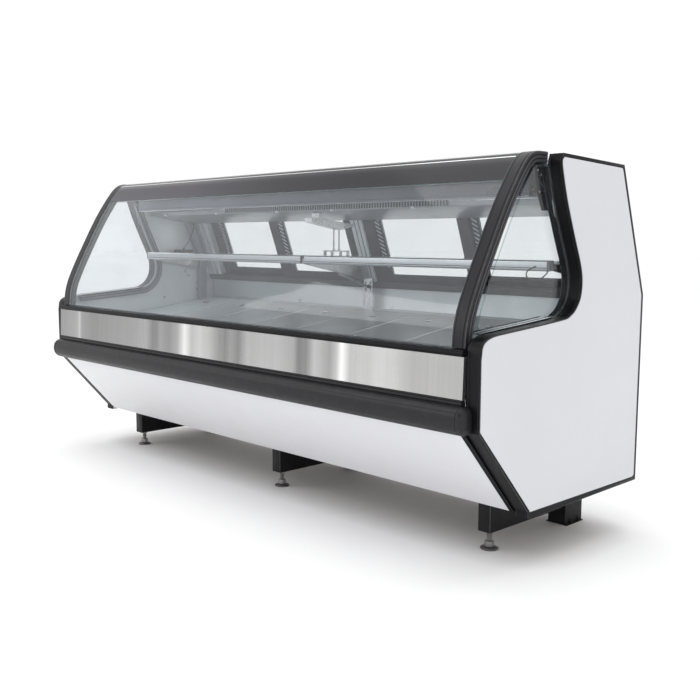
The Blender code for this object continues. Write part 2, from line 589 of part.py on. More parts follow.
# Stay between the shelf ends and the canopy: a wedge housing, two rods and a four-legged foot.
ROD_Y = 0.2740
stay = prism("canopy_stay", [(0.1180, 1.0790), (0.1180, 1.0620), (0.2840, 1.0320), (0.3560, 1.0475), (0.3560, 1.0570),
                             (0.1780, 1.0770), (0.1760, 1.0980), (0.1560, 1.0980), (0.1560, 1.0790)], -0.0220, 0.0220)
union(stay, rod("rod_a", (-0.0160, ROD_Y, 1.0500), (-0.0160, ROD_Y, 0.9450), 0.0040, 8),
      rod("rod_b", (0.0160, ROD_Y, 1.0500), (0.0160, ROD_Y, 0.9450), 0.0040, 8),
      block("bar", (-0.0750, 0.0750), (ROD_Y - 0.007, ROD_Y + 0.007), (0.9425, 0.9480)),
      *[block("leg", (x - 0.003, x + 0.003), (ROD_Y - 0.0065, ROD_Y + 0.0065), (0.9265, 0.9440))
        for x in (-0.070, -0.026, 0.026, 0.070)])
finish(stay, ZINC)

# ------------------------------------------------------------ legs and feet
for x, tag in zip(LEG_X, ("left", "centre", "right")):
    leg = block("leg_" + tag, (x - 0.0250, x + 0.0250), (-0.0560, 0.3590), (BEAM_LOW, BODY_BOTTOM - 0.0005))
    cut(leg, rod("stem_hole", (x, FOOT_Y, 0.050), (x, FOOT_Y, 0.1200), 0.0075, 12))
    wall = [(x - 0.0350, 0.3570), (x + 0.0350, 0.3570), (x + 0.0350, 0.4620), (x - 0.0350, 0.4620)]
    web = prism("web", wall, 0.0, BODY_BOTTOM - 0.0005, axis="z")
    cut(web, prism("inside", [(x - 0.0320, 0.3620), (x + 0.0320, 0.3620), (x + 0.0320, 0.4700), (x - 0.0320, 0.4700)],
                   -0.01, 0.1600, axis="z"))
    union(leg, web, block("lip_r", (x + 0.0330, x + 0.0430), (0.3570, 0.4620), (0.0, 0.0035)),
          block("lip_l", (x - 0.0430, x - 0.0330), (0.3570, 0.4620), (0.0, 0.0035)),
          block("top", (x - 0.0370, x + 0.0370), (0.3560, 0.4950), (0.1350, BODY_BOTTOM - 0.0005)))
    finish(leg, BLACK)
    foot = turned("levelling_foot_" + tag,
                  [(0.0, 0.0), (0.0290, 0.0), (0.0300, 0.0035), (0.0270, 0.0075), (0.0170, 0.0100), (0.0150, 0.0110),
                   (0.0150, 0.0260), (0.0130, 0.0280), (0.0068, 0.0285), (0.0068, 0.1180), (0.0, 0.1180)],
                  (x, FOOT_Y), 16, ZINC, origin=(x, yy(FOOT_Y), 0.0))
    smooth(foot)

# ----------------------------------------------- machine space under the tub
prism("base_pan", [(-0.0940, 0.1690), (0.5100, 0.1690), (0.5100, 0.1950), (0.5070, 0.1950), (0.5070, 0.1720), (-0.0940, 0.1720)],
      -X_IN + 0.0005, X_IN - 0.0005, ZINC)
rear = block("rear_lower_panel", (-X_IN + 0.0005, X_IN - 0.0005), (0.5120, 0.5255), (0.1690, 0.4505))
cut(rear, *[block("louvre", (0.42, 0.98), (0.50, 0.54), (0.215 + 0.024 * k, 0.224 + 0.024 * k)) for k in range(8)],
    block("switch_hole", (-0.9130, -0.8870), (0.50, 0.54), (0.3820, 0.4180)))
finish(rear, WHITE)

SWITCH = (-0.900, 0.5190, 0.400)
tilt = math.radians(8)
rocker = prism("light_switch", [(0.5140, 0.3850), (0.5240, 0.3850), (0.5278, 0.3925), (0.5262, 0.4000), (0.5278, 0.4075), (0.5240, 0.4150),
                                (0.5140, 0.4150), (0.5110, 0.4000)], -0.9110, -0.8890, BLACK,
               origin=(SWITCH[0], yy(SWITCH[1]), SWITCH[2]))
rocker.data.transform(Matrix.Rotation(tilt, 4, "X"))

unit = block("condensing_unit", (0.440, 0.980), (0.080, 0.420), (0.1730, 0.1800))
shell = turned("shell", [(0.0, 0.1780), (0.0750, 0.1780), (0.0850, 0.1950), (0.0850, 0.3100), (0.0760, 0.3450), (0.0500, 0.3650),
                         (0.0, 0.3700)], (0.555, 0.250), 20)
core = block("core", (0.680, 0.960), (0.350, 0.395), (0.1780, 0.4180))
shroud = rod("shroud", (0.820, 0.300, 0.300), (0.820, 0.352, 0.300), 0.1160, 24)
cut(shroud, rod("bore", (0.820, 0.290, 0.300), (0.820, 0.349, 0.300), 0.1080, 24))
motor = rod("motor", (0.820, 0.200, 0.300), (0.820, 0.285, 0.300), 0.0360, 16)
stand = block("stand", (0.800, 0.840), (0.215, 0.270), (0.1780, 0.2750))
pipe = rod("pipe", (0.555, 0.315, 0.260), (0.700, 0.370, 0.260), 0.0060, 8)
union(unit, shell, core, shroud, motor, stand, pipe)
finish(unit, DARK)

FAN = (0.820, 0.312, 0.300)
fan = rod("condenser_fan", (0.820, 0.2870, 0.300), (0.820, 0.3300, 0.300), 0.0300, 16)
blades = []
for k in range(5):
    bm = bmesh.new()
    for r, w, tw in ((0.020, 0.020, 0.011), (0.100, 0.034, 0.009)):
        for sy, sw in ((-1, -1), (1, -1), (1, 1), (-1, 1)):
            bm.verts.new((sw * w, sy * 0.0016 + sw * tw, r))
    bm.verts.ensure_lookup_table()
    v = bm.verts
    for f in ((0, 1, 2, 3), (7, 6, 5, 4), (0, 4, 5, 1), (1, 5, 6, 2), (2, 6, 7, 3), (3, 7, 4, 0)):
        bm.faces.new([v[i] for i in f])
    bmesh.ops.rotate(bm, verts=bm.verts, cent=(0, 0, 0), matrix=Matrix.Rotation(2 * math.pi * k / 5, 3, "Y"))
    bmesh.ops.translate(bm, verts=bm.verts, vec=(FAN[0], yy(FAN[1] - 0.003), FAN[2]))
    blades.append(from_bmesh("blade", bm))
union(fan, *blades)
finish(fan, ALU)
fan.data.transform(Matrix.Translation(-Vector((FAN[0], yy(FAN[1]), FAN[2]))))
fan.location = (FAN[0], yy(FAN[1]), FAN[2])

print("objects", len([o for o in bpy.data.objects if o.type == "MESH"]))
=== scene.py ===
"""Looks of the refrigerated deli case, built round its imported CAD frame.

Metres, +Z up, +X along the case to the customer's right, +Y towards the
server's side. The side profile is written in stations, as in the model's own
source: a station is y before the depth is centred on the origin.
"""
import json
import math
import random

import bmesh
import bpy
from mathutils import Matrix, Vector


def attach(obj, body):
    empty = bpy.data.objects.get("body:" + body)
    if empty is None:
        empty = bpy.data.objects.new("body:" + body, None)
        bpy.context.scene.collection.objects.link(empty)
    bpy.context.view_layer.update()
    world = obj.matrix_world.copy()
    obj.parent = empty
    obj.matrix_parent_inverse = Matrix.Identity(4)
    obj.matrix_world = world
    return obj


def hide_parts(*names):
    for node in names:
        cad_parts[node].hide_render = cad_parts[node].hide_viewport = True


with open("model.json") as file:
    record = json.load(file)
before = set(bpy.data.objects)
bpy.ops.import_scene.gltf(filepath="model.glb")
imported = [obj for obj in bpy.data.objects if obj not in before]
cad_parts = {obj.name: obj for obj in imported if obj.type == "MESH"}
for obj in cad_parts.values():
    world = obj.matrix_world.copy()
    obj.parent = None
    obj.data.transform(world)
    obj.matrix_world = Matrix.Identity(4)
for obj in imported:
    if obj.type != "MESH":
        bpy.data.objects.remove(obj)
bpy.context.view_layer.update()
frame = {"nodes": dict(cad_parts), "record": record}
NODES = frame["nodes"]
scene = bpy.context.scene

S = -0.06625            # station to y
X_IN, HALF = 1.204, 1.256
PIVOT = (0.060, 1.160)
KINK, REAR_TOP = (0.528, 0.810), (0.375, 1.234)
PANEL_TOP, PANEL_LOW = (-0.3486, 0.4406), (-0.1095, 0.1720)
LEG_X = (-1.0514, 0.0, 1.0514)
FOOT_Y = -0.0257

# ------------------------------------------------------------------- camera
cam_data = bpy.data.cameras.new("camera")
cam_data.sensor_fit = "HORIZONTAL"
cam_data.sensor_width = 36.0
cam_data.lens = 913.154 / 700.0 * 36.0
cam_data.clip_end = 200.0
cam = bpy.data.objects.new("camera", cam_data)
scene.collection.objects.link(cam)
yaw, pitch, roll = 0.8065996, 0.1196743, -0.0026670
right = Vector((math.cos(yaw), math.sin(yaw), 0.0))
ahead = Vector((-math.sin(yaw) * math.cos(pitch), math.cos(yaw) * math.cos(pitch), -math.sin(pitch)))
up = right.cross(ahead)
spin = Matrix.Rotation(roll, 3, ahead)
right, up = spin @ right, spin @ up
turn = Matrix((right, up, -ahead)).transposed()
cam.matrix_world = Matrix.Translation((2.803794, -2.332531 + S, 0.990321)) @ turn.to_4x4()
scene.camera = cam

# -------------------------------------------------------------- small tools


def V(x, s, z):
    return Vector((x, s + S, z))


def catmull(points, steps):
    out = []
    ext = [points[0]] + list(points) + [points[-1]]
    for i in range(len(points) - 1):
        p0, p1, p2, p3 = ext[i], ext[i + 1], ext[i + 2], ext[i + 3]
        for k in range(steps):
            t = k / steps
            out.append(tuple(0.5 * (2 * b + (c - a) * t + (2 * a - 5 * b + 4 * c - d) * t * t
                                    + (3 * b - a - 3 * c + d) * t ** 3)
                             for a, b, c, d in zip(p0, p1, p2, p3)))
    out.append(tuple(points[-1]))
    return out


def offset(path, dist):
    """Move an open (station, z) path sideways, to its right as it is walked."""
    out = []
    for i, p in enumerate(path):
        a, b = path[max(i - 1, 0)], path[min(i + 1, len(path) - 1)]
        dy, dz = b[0] - a[0], b[1] - a[1]
        n = math.hypot(dy, dz)
        out.append((p[0] + dist * dz / n, p[1] - dist * dy / n))
    return out


def shrink(outline, d):
    """Pull a closed outline in by about d, corner by corner."""
    area = sum(a[0] * b[1] - b[0] * a[1] for a, b in zip(outline, outline[1:] + outline[:1]))
    sign = 1 if area > 0 else -1
    out = []
    n = len(outline)
    for i, p in enumerate(outline):
        a, b = outline[i - 1], outline[(i + 1) % n]
        e1 = Vector((p[0] - a[0], p[1] - a[1])).normalized()
        e2 = Vector((b[0] - p[0], b[1] - p[1])).normalized()
        n1, n2 = Vector((-e1.y, e1.x)) * sign, Vector((-e2.y, e2.x)) * sign
        m = n1 + n2
        m = m / max(m.dot(m) / 2, 0.35)
        out.append((p[0] + m.x * d, p[1] + m.y * d))
    return out


def round_corners(outline, radii, seg=4):
    """Replace chosen corners of a closed outline by arcs; radii maps index to radius."""
    out = []
    n = len(outline)
    for i, p in enumerate(outline):
        r = radii.get(i, 0) if isinstance(radii, dict) else radii
        if not r:
            out.append(p)
            continue
        a, b, c = Vector(outline[i - 1]), Vector(p), Vector(outline[(i + 1) % n])
        u, v = (a - b).normalized(), (c - b).normalized()
        half = math.acos(max(-1, min(1, u.dot(v)))) / 2
        if half > math.radians(86):
            out.append(p)
            continue
        t = min(r / math.tan(half), (a - b).length * 0.45, (c - b).length * 0.45)
        r2 = t * math.tan(half)
        mid = b + (u + v).normalized() * (r2 / math.sin(half))
        s, e = b + u * t, b + v * t
        a0 = math.atan2(s.y - mid.y, s.x - mid.x)
        a1 = math.atan2(e.y - mid.y, e.x - mid.x)
        while a1 - a0 > math.pi:
            a1 -= 2 * math.pi
        while a1 - a0 < -math.pi:
            a1 += 2 * math.pi
        for k in range(seg + 1):
            w = a0 + (a1 - a0) * k / seg
            out.append((mid.x + r2 * math.cos(w), mid.y + r2 * math.sin(w)))
    return out


def slant(s, n):
    """A point of the rear slant: s up the slant from the kink, n into the case."""
    run = (REAR_TOP[0] - KINK[0], REAR_TOP[1] - KINK[1])
    size = math.hypot(*run)
    uy, uz = run[0] / size, run[1] / size
    return (KINK[0] + s * uy - n * uz, KINK[1] + s * uz + n * uy)


def slant_v(x, s, n):
    p = slant(s, n)
    return V(x, p[0], p[1])


def deck(y):
    return 0.625 + 0.150 * y


def loft(bm, rings, close=True, caps=True, mat=0, cap_mats=None):
    made = [[bm.verts.new(p) for p in ring] for ring in rings]
    n = len(made[0])
    for j, (a, b) in enumerate(zip(made, made[1:])):
        m = mat[j] if isinstance(mat, (list, tuple)) else mat
        for i in range(n if close else n - 1):
            f = bm.faces.new((a[i], a[(i + 1) % n], b[(i + 1) % n], b[i]))
            f.material_index = m
    if caps:
        f = bm.faces.new(made[0][::-1])
        g = bm.faces.new(made[-1])
        f.material_index, g.material_index = cap_mats or (0, 0)
    return made


def add_box(bm, x, s, z, mat=0):
    """A block from x, station and z ranges."""
    lo, hi = V(x[0], s[0], z[0]), V(x[1], s[1], z[1])
    v = [bm.verts.new((lo.x if i & 1 == 0 else hi.x, lo.y if i & 2 == 0 else hi.y, lo.z if i & 4 == 0 else hi.z))
         for i in range(8)]
    for f in ((0, 2, 3, 1), (4, 5, 7, 6), (0, 1, 5, 4), (2, 6, 7, 3), (0, 4, 6, 2), (1, 3, 7, 5)):
        bm.faces.new([v[i] for i in f]).material_index = mat
    return v


def add_prism(bm, outline, x0, x1, mat=0):
    """A closed (station, z) outline pushed along X."""
    return loft(bm, [[V(x0, a, b) for a, b in outline], [V(x1, a, b) for a, b in outline]], mat=mat, cap_mats=(mat, mat))


def add_lathe(bm, profile, at, axis=(0, 0, 1), sides=28, mat=0):
    """Turn a (radius, height) profile about a line through at (row frame) along axis."""
    turn_to = Vector((0, 0, 1)).rotation_difference(Vector(axis).normalized()).to_matrix()
    rings = []
    for r, h in profile:
        if r < 1e-7:
            rings.append([bm.verts.new(Vector(at) + turn_to @ Vector((0, 0, h)))])
        else:
            rings.append([bm.verts.new(Vector(at) + turn_to @ Vector((r * math.cos(2 * math.pi * k / sides),
                                                                      r * math.sin(2 * math.pi * k / sides), h)))
                          for k in range(sides)])
    for a, b in zip(rings, rings[1:]):
        for k in range(sides):
            n = (k + 1) % sides
            if len(a) == 1 and len(b) == 1:
                continue
            if len(a) == 1:
                f = bm.faces.new((a[0], b[n], b[k]))
            elif len(b) == 1:
                f = bm.faces.new((a[k], a[n], b[0]))
            else:
                f = bm.faces.new((a[k], a[n], b[n], b[k]))
            f.material_index = mat
    for ring, flip in ((rings[0], True), (rings[-1], False)):
        if len(ring) > 1:
            bm.faces.new(ring[::-1] if flip else ring).material_index = mat


def add_tube(bm, points, radius, sides=10, mat=0, steps=6, curve=True):
    """A bent round bar through points in the row frame, with flat ends."""
    path = [Vector(p) for p in (catmull([tuple(p) for p in points], steps) if curve else points)]
    rings = []
    side = None
    for i, p in enumerate(path):
        way = (path[min(i + 1, len(path) - 1)] - path[max(i - 1, 0)]).normalized()
        side = way.orthogonal().normalized() if side is None else (side - way * side.dot(way)).normalized()
        top = way.cross(side)
        rings.append([p + radius * (math.cos(2 * math.pi * k / sides) * side + math.sin(2 * math.pi * k / sides) * top)
                      for k in range(sides)])
    loft(bm, rings, mat=mat, cap_mats=(mat, mat))


def add_screw(bm, at, way, r=0.004, mat=0, dark=1):
    """A pan-head screw with a cross recess, drawn as a raised cross in a dark finish: painted shade."""
    way = Vector(way).normalized()
    at = Vector(at)
    add_lathe(bm, [(0.0, -0.0005), (r, -0.0005), (r, 0.12 * r), (0.93 * r, 0.34 * r), (0.70 * r, 0.52 * r), (0.32 * r, 0.60 * r),
                   (0.0, 0.61 * r)], at, way, 18, mat)
    turn_to = Vector((0, 0, 1)).rotation_difference(way).to_matrix()
    for a in (0.4, 0.4 + math.pi / 2):
        u = turn_to @ Vector((math.cos(a), math.sin(a), 0))
        w = turn_to @ Vector((-math.sin(a), math.cos(a), 0))
        ring = []
        for h in (0.50 * r, 0.64 * r):
            ring.append([at + way * h + u * (0.52 * r) + w * (0.10 * r), at + way * h - u * (0.52 * r) + w * (0.10 * r),
                         at + way * h - u * (0.52 * r) - w * (0.10 * r), at + way * h + u * (0.52 * r) - w * (0.10 * r)])
        loft(bm, ring, mat=dark, cap_mats=(dark, dark))


def add_hex(bm, at, way, flats, h0, h1, mat=0, chamfer=0.0008):
    r = flats / math.sqrt(3)
    turn_to = Vector((0, 0, 1)).rotation_difference(Vector(way).normalized()).to_matrix()
    rings = []
    for rr, h in ((r - chamfer * 1.6, h0), (r, h0 + chamfer), (r, h1 - chamfer), (r - chamfer * 1.6, h1)):
        rings.append([Vector(at) + turn_to @ Vector((rr * math.cos(math.pi / 3 * k), rr * math.sin(math.pi / 3 * k), h))
                      for k in range(6)])
    loft(bm, rings, mat=mat, cap_mats=(mat, mat))


def make(name, bm, mats, body="case", replaces=(), angle=32, bevel=0.0, segs=2, limit=30):
    """Turn a bmesh into a piece that rides on a body."""
    bmesh.ops.recalc_face_normals(bm, faces=bm.faces)
    mesh = bpy.data.meshes.new(name)
    bm.to_mesh(mesh)
    bm.free()
    obj = bpy.data.objects.new(name, mesh)
    scene.collection.objects.link(obj)
    for m in (mats if isinstance(mats, (list, tuple)) else [mats]):
        mesh.materials.append(m)
    mesh.shade_smooth()
    if bevel:
        mod = obj.modifiers.new("edges", "BEVEL")
        mod.width = bevel
        mod.segments = segs
        mod.limit_method = "ANGLE"
        mod.angle_limit = math.radians(limit)
        mod.harden_normals = True
        mod.use_clamp_overlap = True
    else:
        mesh.set_sharp_from_angle(angle=math.radians(angle))
    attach(obj, body)
    if replaces:
        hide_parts(*([replaces] if isinstance(replaces, str) else replaces))
    return obj


def refine(node, mats, name=None, body="case", bevel=0.0008, segs=2, limit=30):
    """A CAD solid's own shape with its flat faces joined and its edges eased."""
    bm = bmesh.new()
    bm.from_mesh(NODES[node].data)
    bmesh.ops.remove_doubles(bm, verts=bm.verts, dist=2e-5)
    bmesh.ops.dissolve_limit(bm, angle_limit=math.radians(1.2), verts=bm.verts, edges=bm.edges)
    for f in bm.faces:
        f.material_index = 0
    return make(name or node + "_body", bm, mats, body, node, bevel=bevel, segs=segs, limit=limit)


def mirror_x(points):
    return [(-x, y) for x, y in points]

# ---------------------------------------------------------------- materials


class Graph:
    """A material's node tree with short calls for the nodes used here."""

    def __init__(self, name):
        self.mat = bpy.data.materials.new(name)
        self.mat.use_nodes = True
        self.nt = self.mat.node_tree
        self.nt.nodes.clear()
        self.out = self.nt.nodes.new("ShaderNodeOutputMaterial")
        self.where = self.nt.nodes.new("ShaderNodeTexCoord").outputs["Object"]

    def node(self, kind, **values):
        n = self.nt.nodes.new("ShaderNode" + kind)
        for k, v in values.items():
            setattr(n, k, v)
        return n

    def link(self, a, b):
        self.nt.links.new(a, b)
        return b

    def shader(self, base, rough, metal=0.0, **sockets):
        n = self.node("BsdfPrincipled")
        for key, value in (("Base Color", base), ("Roughness", rough), ("Metallic", metal)):
            self.put(n.inputs[key], value)
        for key, value in sockets.items():
            self.put(n.inputs[key.replace("_", " ")], value)
        return n

    def put(self, socket, value):
        if isinstance(value, bpy.types.NodeSocket):
            self.nt.links.new(value, socket)
        elif isinstance(value, (tuple, list)) and len(value) == 3 and socket.type == "RGBA":
            socket.default_value = (*value, 1.0)
        else:
            socket.default_value = value

    def stretch(self, scale, move=(0, 0, 0), turn=(0, 0, 0)):
        n = self.node("Mapping")
        n.inputs["Scale"].default_value = scale
        n.inputs["Location"].default_value = move
        n.inputs["Rotation"].default_value = turn
        self.link(self.where, n.inputs["Vector"])
        return n.outputs[0]

    def noise(self, scale, detail=3.0, rough=0.5, stretch=(1, 1, 1), move=(0, 0, 0), distort=0.0):
        n = self.node("TexNoise")
        n.inputs["Scale"].default_value = scale
        n.inputs["Detail"].default_value = detail
        n.inputs["Roughness"].default_value = rough
        n.inputs["Distortion"].default_value = distort
        self.link(self.stretch(stretch, move), n.inputs["Vector"])
        return n.outputs["Fac"]

    def voronoi(self, scale, feature="F1", stretch=(1, 1, 1), out="Distance"):
        n = self.node("TexVoronoi", feature=feature)
        n.inputs["Scale"].default_value = scale
        self.link(self.stretch(stretch), n.inputs["Vector"])
        return n.outputs[out]

    def ramp(self, fac, stops, mode="LINEAR"):
        n = self.node("ValToRGB")
        r = n.color_ramp
        r.interpolation = mode
        while len(r.elements) > 1:
            r.elements.remove(r.elements[-1])
        for i, (at, colour) in enumerate(stops):
            e = r.elements[0] if i == 0 else r.elements.new(at)
            e.position = at
            c = (colour,) * 3 if isinstance(colour, (int, float)) else colour
            e.color = (*c, 1.0)
        self.link(fac, n.inputs[0])
        return n.outputs[0]

    def span(self, value, lo, hi, a=0.3, b=0.7):
        n = self.node("MapRange")
        for key, v in (("From Min", a), ("From Max", b), ("To Min", lo), ("To Max", hi)):
            n.inputs[key].default_value = v
        self.link(value, n.inputs["Value"])
        return n.outputs[0]

    def maths(self, op, a, b=None, clamp=False):
        n = self.node("Math", operation=op, use_clamp=clamp)
        self.put(n.inputs[0], a)
        if b is not None:
            self.put(n.inputs[1], b)
        return n.outputs[0]

    def blend(self, fac, a, b, kind="MIX"):
        n = self.node("Mix", data_type="RGBA", blend_type=kind)
        self.put(n.inputs["Factor"], fac)
        self.put(n.inputs[6], (*a, 1.0) if isinstance(a, tuple) and len(a) == 3 else a)
        self.put(n.inputs[7], (*b, 1.0) if isinstance(b, tuple) and len(b) == 3 else b)
        return n.outputs[2]

    def bump(self, height, strength, distance, normal=None):
        n = self.node("Bump")
        n.inputs["Strength"].default_value = strength
        n.inputs["Distance"].default_value = distance
        self.link(height, n.inputs["Height"])
        if normal is not None:
            self.link(normal, n.inputs["Normal"])
        return n.outputs[0]

    def axis(self, which):
        n = self.node("SeparateXYZ")
        self.link(self.where, n.inputs[0])
        return n.outputs[which]

    def edges(self, lo=0.52, hi=0.60):
        """Where the surface bends outwards, from 0 to 1."""
        g = self.node("NewGeometry")
        return self.span(g.outputs["Pointiness"], 0.0, 1.0, lo, hi)

    def close(self, shader, normal=None):
        if normal is not None:
            self.link(normal, shader.inputs["Normal"])
        self.link(shader.outputs[0], self.out.inputs["Surface"])
        return self.mat


def scaled(c, k):
    return tuple(min(1.0, v * k) for v in c)


def painted_light_along_x(g, colour, painted_light_ramp):
    """Painted light and shade: the colour is multiplied by a ramp along the case, lighter or darker from one end to the
    other as light falls on it.
    """
    if not painted_light_ramp:
        return colour
    return g.blend(1.0, colour, g.ramp(g.span(g.axis("X"), 0.0, 1.0, -1.2, 1.2), painted_light_ramp), "MULTIPLY")


def plain(name, base, rough, metal=0.0, spread=0.08, scale=3.0, stretch=(1, 1, 1), rough_spread=0.06, grain=0.0,
          grain_scale=900.0, grain_stretch=(1, 1, 1), wear=0.0, wear_colour=None, painted_light_ramp=None, **sockets):
    """Colour drift, uneven gloss, a fine grain and lighter worn patches over one finish."""
    g = Graph(name)
    drift = g.noise(scale, 4.0, 0.55, stretch)
    colour = g.blend(g.span(drift, 0.0, 1.0), scaled(base, 1 - spread), scaled(base, 1 + spread))
    if wear:
        patch = g.noise(38.0, 5.0, 0.6, move=(3.1, 1.7, 0.4))
        colour = g.blend(g.span(patch, 0.0, wear, 0.46, 0.72), colour, wear_colour or scaled(base, 2.2))
    # Where a ramp is given, painted light and shade along the case.
    colour = painted_light_along_x(g, colour, painted_light_ramp)
    uneven = g.noise(scale * 5.3, 4.0, 0.6, stretch, move=(7.7, 0.3, 2.1))
    shader = g.shader(colour, g.span(uneven, max(0.02, rough - rough_spread), rough + rough_spread), metal, **sockets)
    normal = None
    if grain:
        fine = g.noise(grain_scale, 2.0, 0.6, grain_stretch, move=(0.2, 5.1, 1.3))
        normal = g.bump(fine, min(1.0, grain), 0.0004)
    return g.close(shader, normal)


# Powder-coated sheet: faint orange peel over a cool off-white.
def powder(name, base, rough=0.36):
    g = Graph(name)
    drift = g.noise(1.6, 3.0, 0.5)
    fine = g.noise(14.0, 5.0, 0.6, move=(4, 1, 2))
    colour = g.blend(g.span(drift, 0.0, 1.0), scaled(base, 0.975), scaled(base, 1.02))
    colour = g.blend(g.span(fine, 0.0, 0.10, 0.45, 0.75), colour, scaled(base, 0.90))
    shader = g.shader(colour, g.span(fine, rough - 0.05, rough + 0.07), 0.0, Coat_Weight=0.12, Coat_Roughness=0.18)
    peel = g.noise(420.0, 2.0, 0.5, move=(1, 9, 3))
    wave = g.noise(2.4, 1.0, 0.4, move=(5, 5, 1))
    return g.close(shader, g.bump(peel, 0.10, 0.0004, g.bump(wave, 0.22, 0.004)))


# Brushed sheet: long scratches along one direction, soft bands across it.
def brushed(name, base, rough, along, band=0.10, band_scale=2.2, metal=1.0, strength=0.16, fine=260.0, painted_light_ramp=None, **sockets):
    g = Graph(name)
    thin = tuple(0.012 if i == along else 1.0 for i in range(3))
    scratch = g.noise(fine, 3.0, 0.65, thin)
    broad = g.noise(band_scale, 3.0, 0.55, tuple(0.08 if i == along else 1.0 for i in range(3)), move=(2, 3, 4))
    colour = g.blend(g.span(broad, 0.0, 1.0, 0.35, 0.65), scaled(base, 1 - band), scaled(base, 1 + band))
    colour = g.blend(g.span(scratch, 0.0, 0.35, 0.42, 0.72), colour, scaled(base, 0.80))
    # Where a ramp is given, painted light and shade along the case.
    colour = painted_light_along_x(g, colour, painted_light_ramp)
    smear = g.noise(3.4, 4.0, 0.6, move=(0.3, 8, 1))
    shader = g.shader(colour, g.maths("ADD", g.span(scratch, rough - 0.05, rough + 0.07), g.span(smear, -0.03, 0.05)), metal, **sockets)
    return g.close(shader, g.bump(scratch, strength, 0.0003))


def glass(name, tint, gloss=1.0, haze=0.02, reflect=(1, 1, 1), rim=None):
    """Thin clear pane: what is behind shows through tinted, the surface mirrors by Fresnel, and a trace of dust scatters."""
    g = Graph(name)
    smudge = g.noise(5.0, 5.0, 0.6, move=(3, 3, 3))
    clear = g.node("BsdfTransparent")
    g.put(clear.inputs["Color"], g.blend(g.span(smudge, 0.0, 1.0), scaled(tint, 0.985), scaled(tint, 1.01)))
    mirror = g.shader(reflect, g.span(smudge, 0.015, 0.05), 1.0)
    facing = g.node("LayerWeight")
    facing.inputs["Blend"].default_value = 0.5
    rise = g.maths("POWER", facing.outputs["Facing"], 5.0)
    mix = g.node("MixShader")
    g.link(g.maths("MULTIPLY_ADD", rise, 0.96 * gloss, clamp=True), mix.inputs[0])
    mix.inputs[0].links[0].from_node.inputs[2].default_value = 0.034 * gloss
    g.link(clear.outputs[0], mix.inputs[1])
    g.link(mirror.outputs[0], mix.inputs[2])
    dust = g.shader((0.78, 0.83, 0.93), 0.6)
    film = g.node("MixShader")
    g.link(g.span(smudge, haze * 0.8, haze * 1.25), film.inputs[0])
    g.link(mix.outputs[0], film.inputs[1])
    g.link(dust.outputs[0], film.inputs[2])
    g.link(film.outputs[0], g.out.inputs["Surface"])
    return g.mat


BLACK = {"Specular_IOR_Level": 0.26}
M = {}
M["white"] = powder("white_powder_coat", (0.632, 0.636, 0.668))
M["white_rear"] = powder("rear_powder_coat", (0.62, 0.628, 0.650), 0.42)
M["abs"] = plain("black_moulding", (0.0050, 0.0047, 0.0060), 0.34, spread=0.14, grain=0.14, grain_scale=700, Specular_IOR_Level=0.15)
M["abs_worn"] = plain("black_moulding_edge", (0.018, 0.0175, 0.020), 0.28, spread=0.12, grain=0.08, wear=0.5, wear_colour=(0.05, 0.05, 0.054))
M["profile"] = plain("black_coated_profile", (0.0160, 0.0142, 0.0170), 0.36, spread=0.14, scale=6.0, stretch=(1, 0.35, 0.35), grain=0.12,
                     grain_scale=420, grain_stretch=(1, 0.05, 0.05), **BLACK)
M["profile_worn"] = plain("coated_profile_edge", (0.030, 0.029, 0.032), 0.26, spread=0.15, wear=0.6, wear_colour=(0.10, 0.10, 0.11))
M["bumper"] = plain("black_bumper_vinyl", (0.0125, 0.0115, 0.0138), 0.36, spread=0.20, scale=9.0, stretch=(0.05, 1, 1), rough_spread=0.08,
                    grain=0.18, grain_scale=300, grain_stretch=(0.02, 1, 1), wear=0.25, wear_colour=(0.040, 0.039, 0.042), **BLACK)
M["dark_gap"] = plain("seam_black", (0.004, 0.004, 0.005), 0.6, spread=0.3, grain=0.1, **{"Specular_IOR_Level": 0.15})
M["liner"] = plain("satin_liner", (0.66, 0.695, 0.715), 0.34, 0.35, spread=0.05, scale=1.4, rough_spread=0.08, grain=0.05, grain_scale=500)
# A paler copy of the liner for the end walls' inner faces, standing in for more light on them: painted light.
M["liner_wall_lit"] = plain("liner_wall_lit", (0.86, 0.89, 0.905), 0.32, 0.25, spread=0.04, scale=1.1, rough_spread=0.06, grain=0.04)
# The deck pans carry painted light and shade: full tone at the left end, dropping to about a third towards the right.
M["pan"] = brushed("deck_pan_steel", (0.90, 0.945, 0.970), 0.34, 1, band=0.03, metal=0.35, strength=0.05,
                   painted_light_ramp=[(0.0, 1.0), (0.10, 1.0), (0.24, 0.64), (0.34, 0.48), (0.48, 0.36), (0.78, 0.31), (1.0, 0.38)])
# The canopy sheet carries painted light and shade: full tone at the left end, falling to under a third at the right.
M["canopy"] = plain("canopy_sheet", (0.222, 0.242, 0.298), 0.32, 0.2, spread=0.07, scale=1.2, rough_spread=0.07, grain=0.06,
                    painted_light_ramp=[(0.0, 1.0), (0.45, 0.80), (0.75, 0.50), (1.0, 0.30)])
M["tray"] = plain("tray_sheet", (0.33, 0.355, 0.378), 0.36, 0.35, spread=0.08, scale=2.2, grain=0.10, grain_scale=300)
M["aluminium"] = brushed("anodised_aluminium", (0.88, 0.90, 0.91), 0.26, 0, band=0.05, strength=0.08)
M["aluminium_up"] = brushed("door_post_aluminium", (0.88, 0.91, 0.94), 0.34, 2, band=0.01, metal=0.3, strength=0.01, fine=420.0)
M["door"] = plain("door_frame_grey", (0.028, 0.029, 0.042), 0.40, spread=0.10, scale=5.0, grain=0.14, grain_scale=600)
M["door_worn"] = plain("door_frame_edge", (0.055, 0.058, 0.068), 0.32, spread=0.12, wear=0.4, wear_colour=(0.16, 0.16, 0.17))
